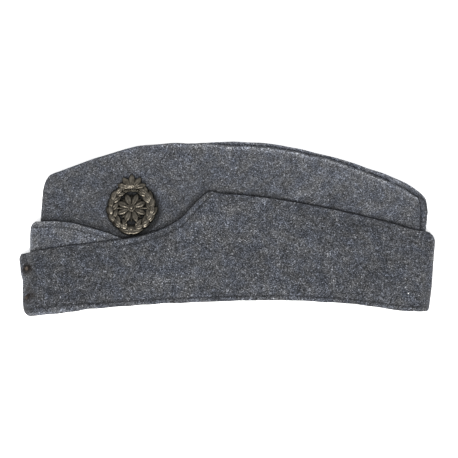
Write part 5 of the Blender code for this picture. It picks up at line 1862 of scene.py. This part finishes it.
# Camera and light: the picture is 458 pixels square, and a pixel of it is this long on the cap
PIXEL = 0.0007194
PICTURE_SIDE = 458
CAP_MIDDLE_PIXEL = (227.15, 229.15)
LENS = 250.0
SENSOR = 36.0
MIDDLE_HEIGHT = 0.012

# Lights: place, size, power and colour. The floor: half its side, how far it lies down, its tone and glow.
KEY_LIGHT = ((-0.12, -0.46, 1.38), 0.40, 30.0, (1.0, 0.985, 0.96))
FILL_LIGHT = ((0.7, 0.9, 1.3), 1.2, 4.0, (0.95, 0.97, 1.0))
SURROUND_COLOUR = (0.97, 0.98, 1.0, 1.0)
SURROUND_STRENGTH = 0.80
FLOOR_REACH = 3.0
FLOOR_DOWN = 0.0001
FLOOR_TONE = 0.93
FLOOR_GLOW = 0.50


def area_light(name, place, size, power, colour):
    """A square soft light at a place, aimed at the cap."""
    light = bpy.data.lights.new(name, "AREA")
    light.shape = "SQUARE"
    light.size = size
    light.energy = power
    light.color = colour
    made = bpy.data.objects.new(name, light)
    made.location = place
    away = np.array(place) / np.linalg.norm(place)
    made.rotation_euler = (np.arccos(away[2]), 0.0, np.arctan2(away[1], away[0]) + np.pi / 2)
    bpy.context.scene.collection.objects.link(made)


def stage():
    """A pale plain floor, a bright surround, a camera straight above, and two soft lights.

    The stronger light is nearly above, a little to the lower left, and the weaker one is to the upper right.
    """
    scene = bpy.context.scene
    pale, _ = new_material(
        "pale floor", Roughness=0.9, Base_Color=grey(FLOOR_TONE),
        Emission_Color=grey(1.0), Emission_Strength=FLOOR_GLOW,
    )
    mesh = bpy.data.meshes.new("floor")
    corners = FLOOR_REACH * np.array(((-1, -1), (1, -1), (1, 1), (-1, 1)))
    mesh.from_pydata([(*corner, -FLOOR_DOWN) for corner in corners.tolist()], [], [(0, 1, 2, 3)])
    mesh.materials.append(pale)
    floor = bpy.data.objects.new("floor", mesh)
    scene.collection.objects.link(floor)

    world = bpy.data.worlds.new("bright surround")
    world.use_nodes = True
    background = world.node_tree.nodes["Background"]
    background.inputs["Color"].default_value = SURROUND_COLOUR
    background.inputs["Strength"].default_value = SURROUND_STRENGTH
    scene.world = world
    area_light("key", *KEY_LIGHT)
    area_light("fill", *FILL_LIGHT)

    lens = bpy.data.cameras.new("camera")
    lens.lens = LENS
    lens.sensor_width = SENSOR
    camera = bpy.data.objects.new("camera", lens)
    away = PICTURE_SIDE * PIXEL * LENS / SENSOR
    x = (PICTURE_SIDE / 2 - CAP_MIDDLE_PIXEL[0]) * PIXEL
    y = (CAP_MIDDLE_PIXEL[1] - PICTURE_SIDE / 2) * PIXEL
    camera.location = (x, y, away + MIDDLE_HEIGHT)
    lens.clip_end = 2 * away
    scene.collection.objects.link(camera)
    scene.camera = camera
    scene.view_settings.view_transform = "Standard"


dress_cap()
stage()
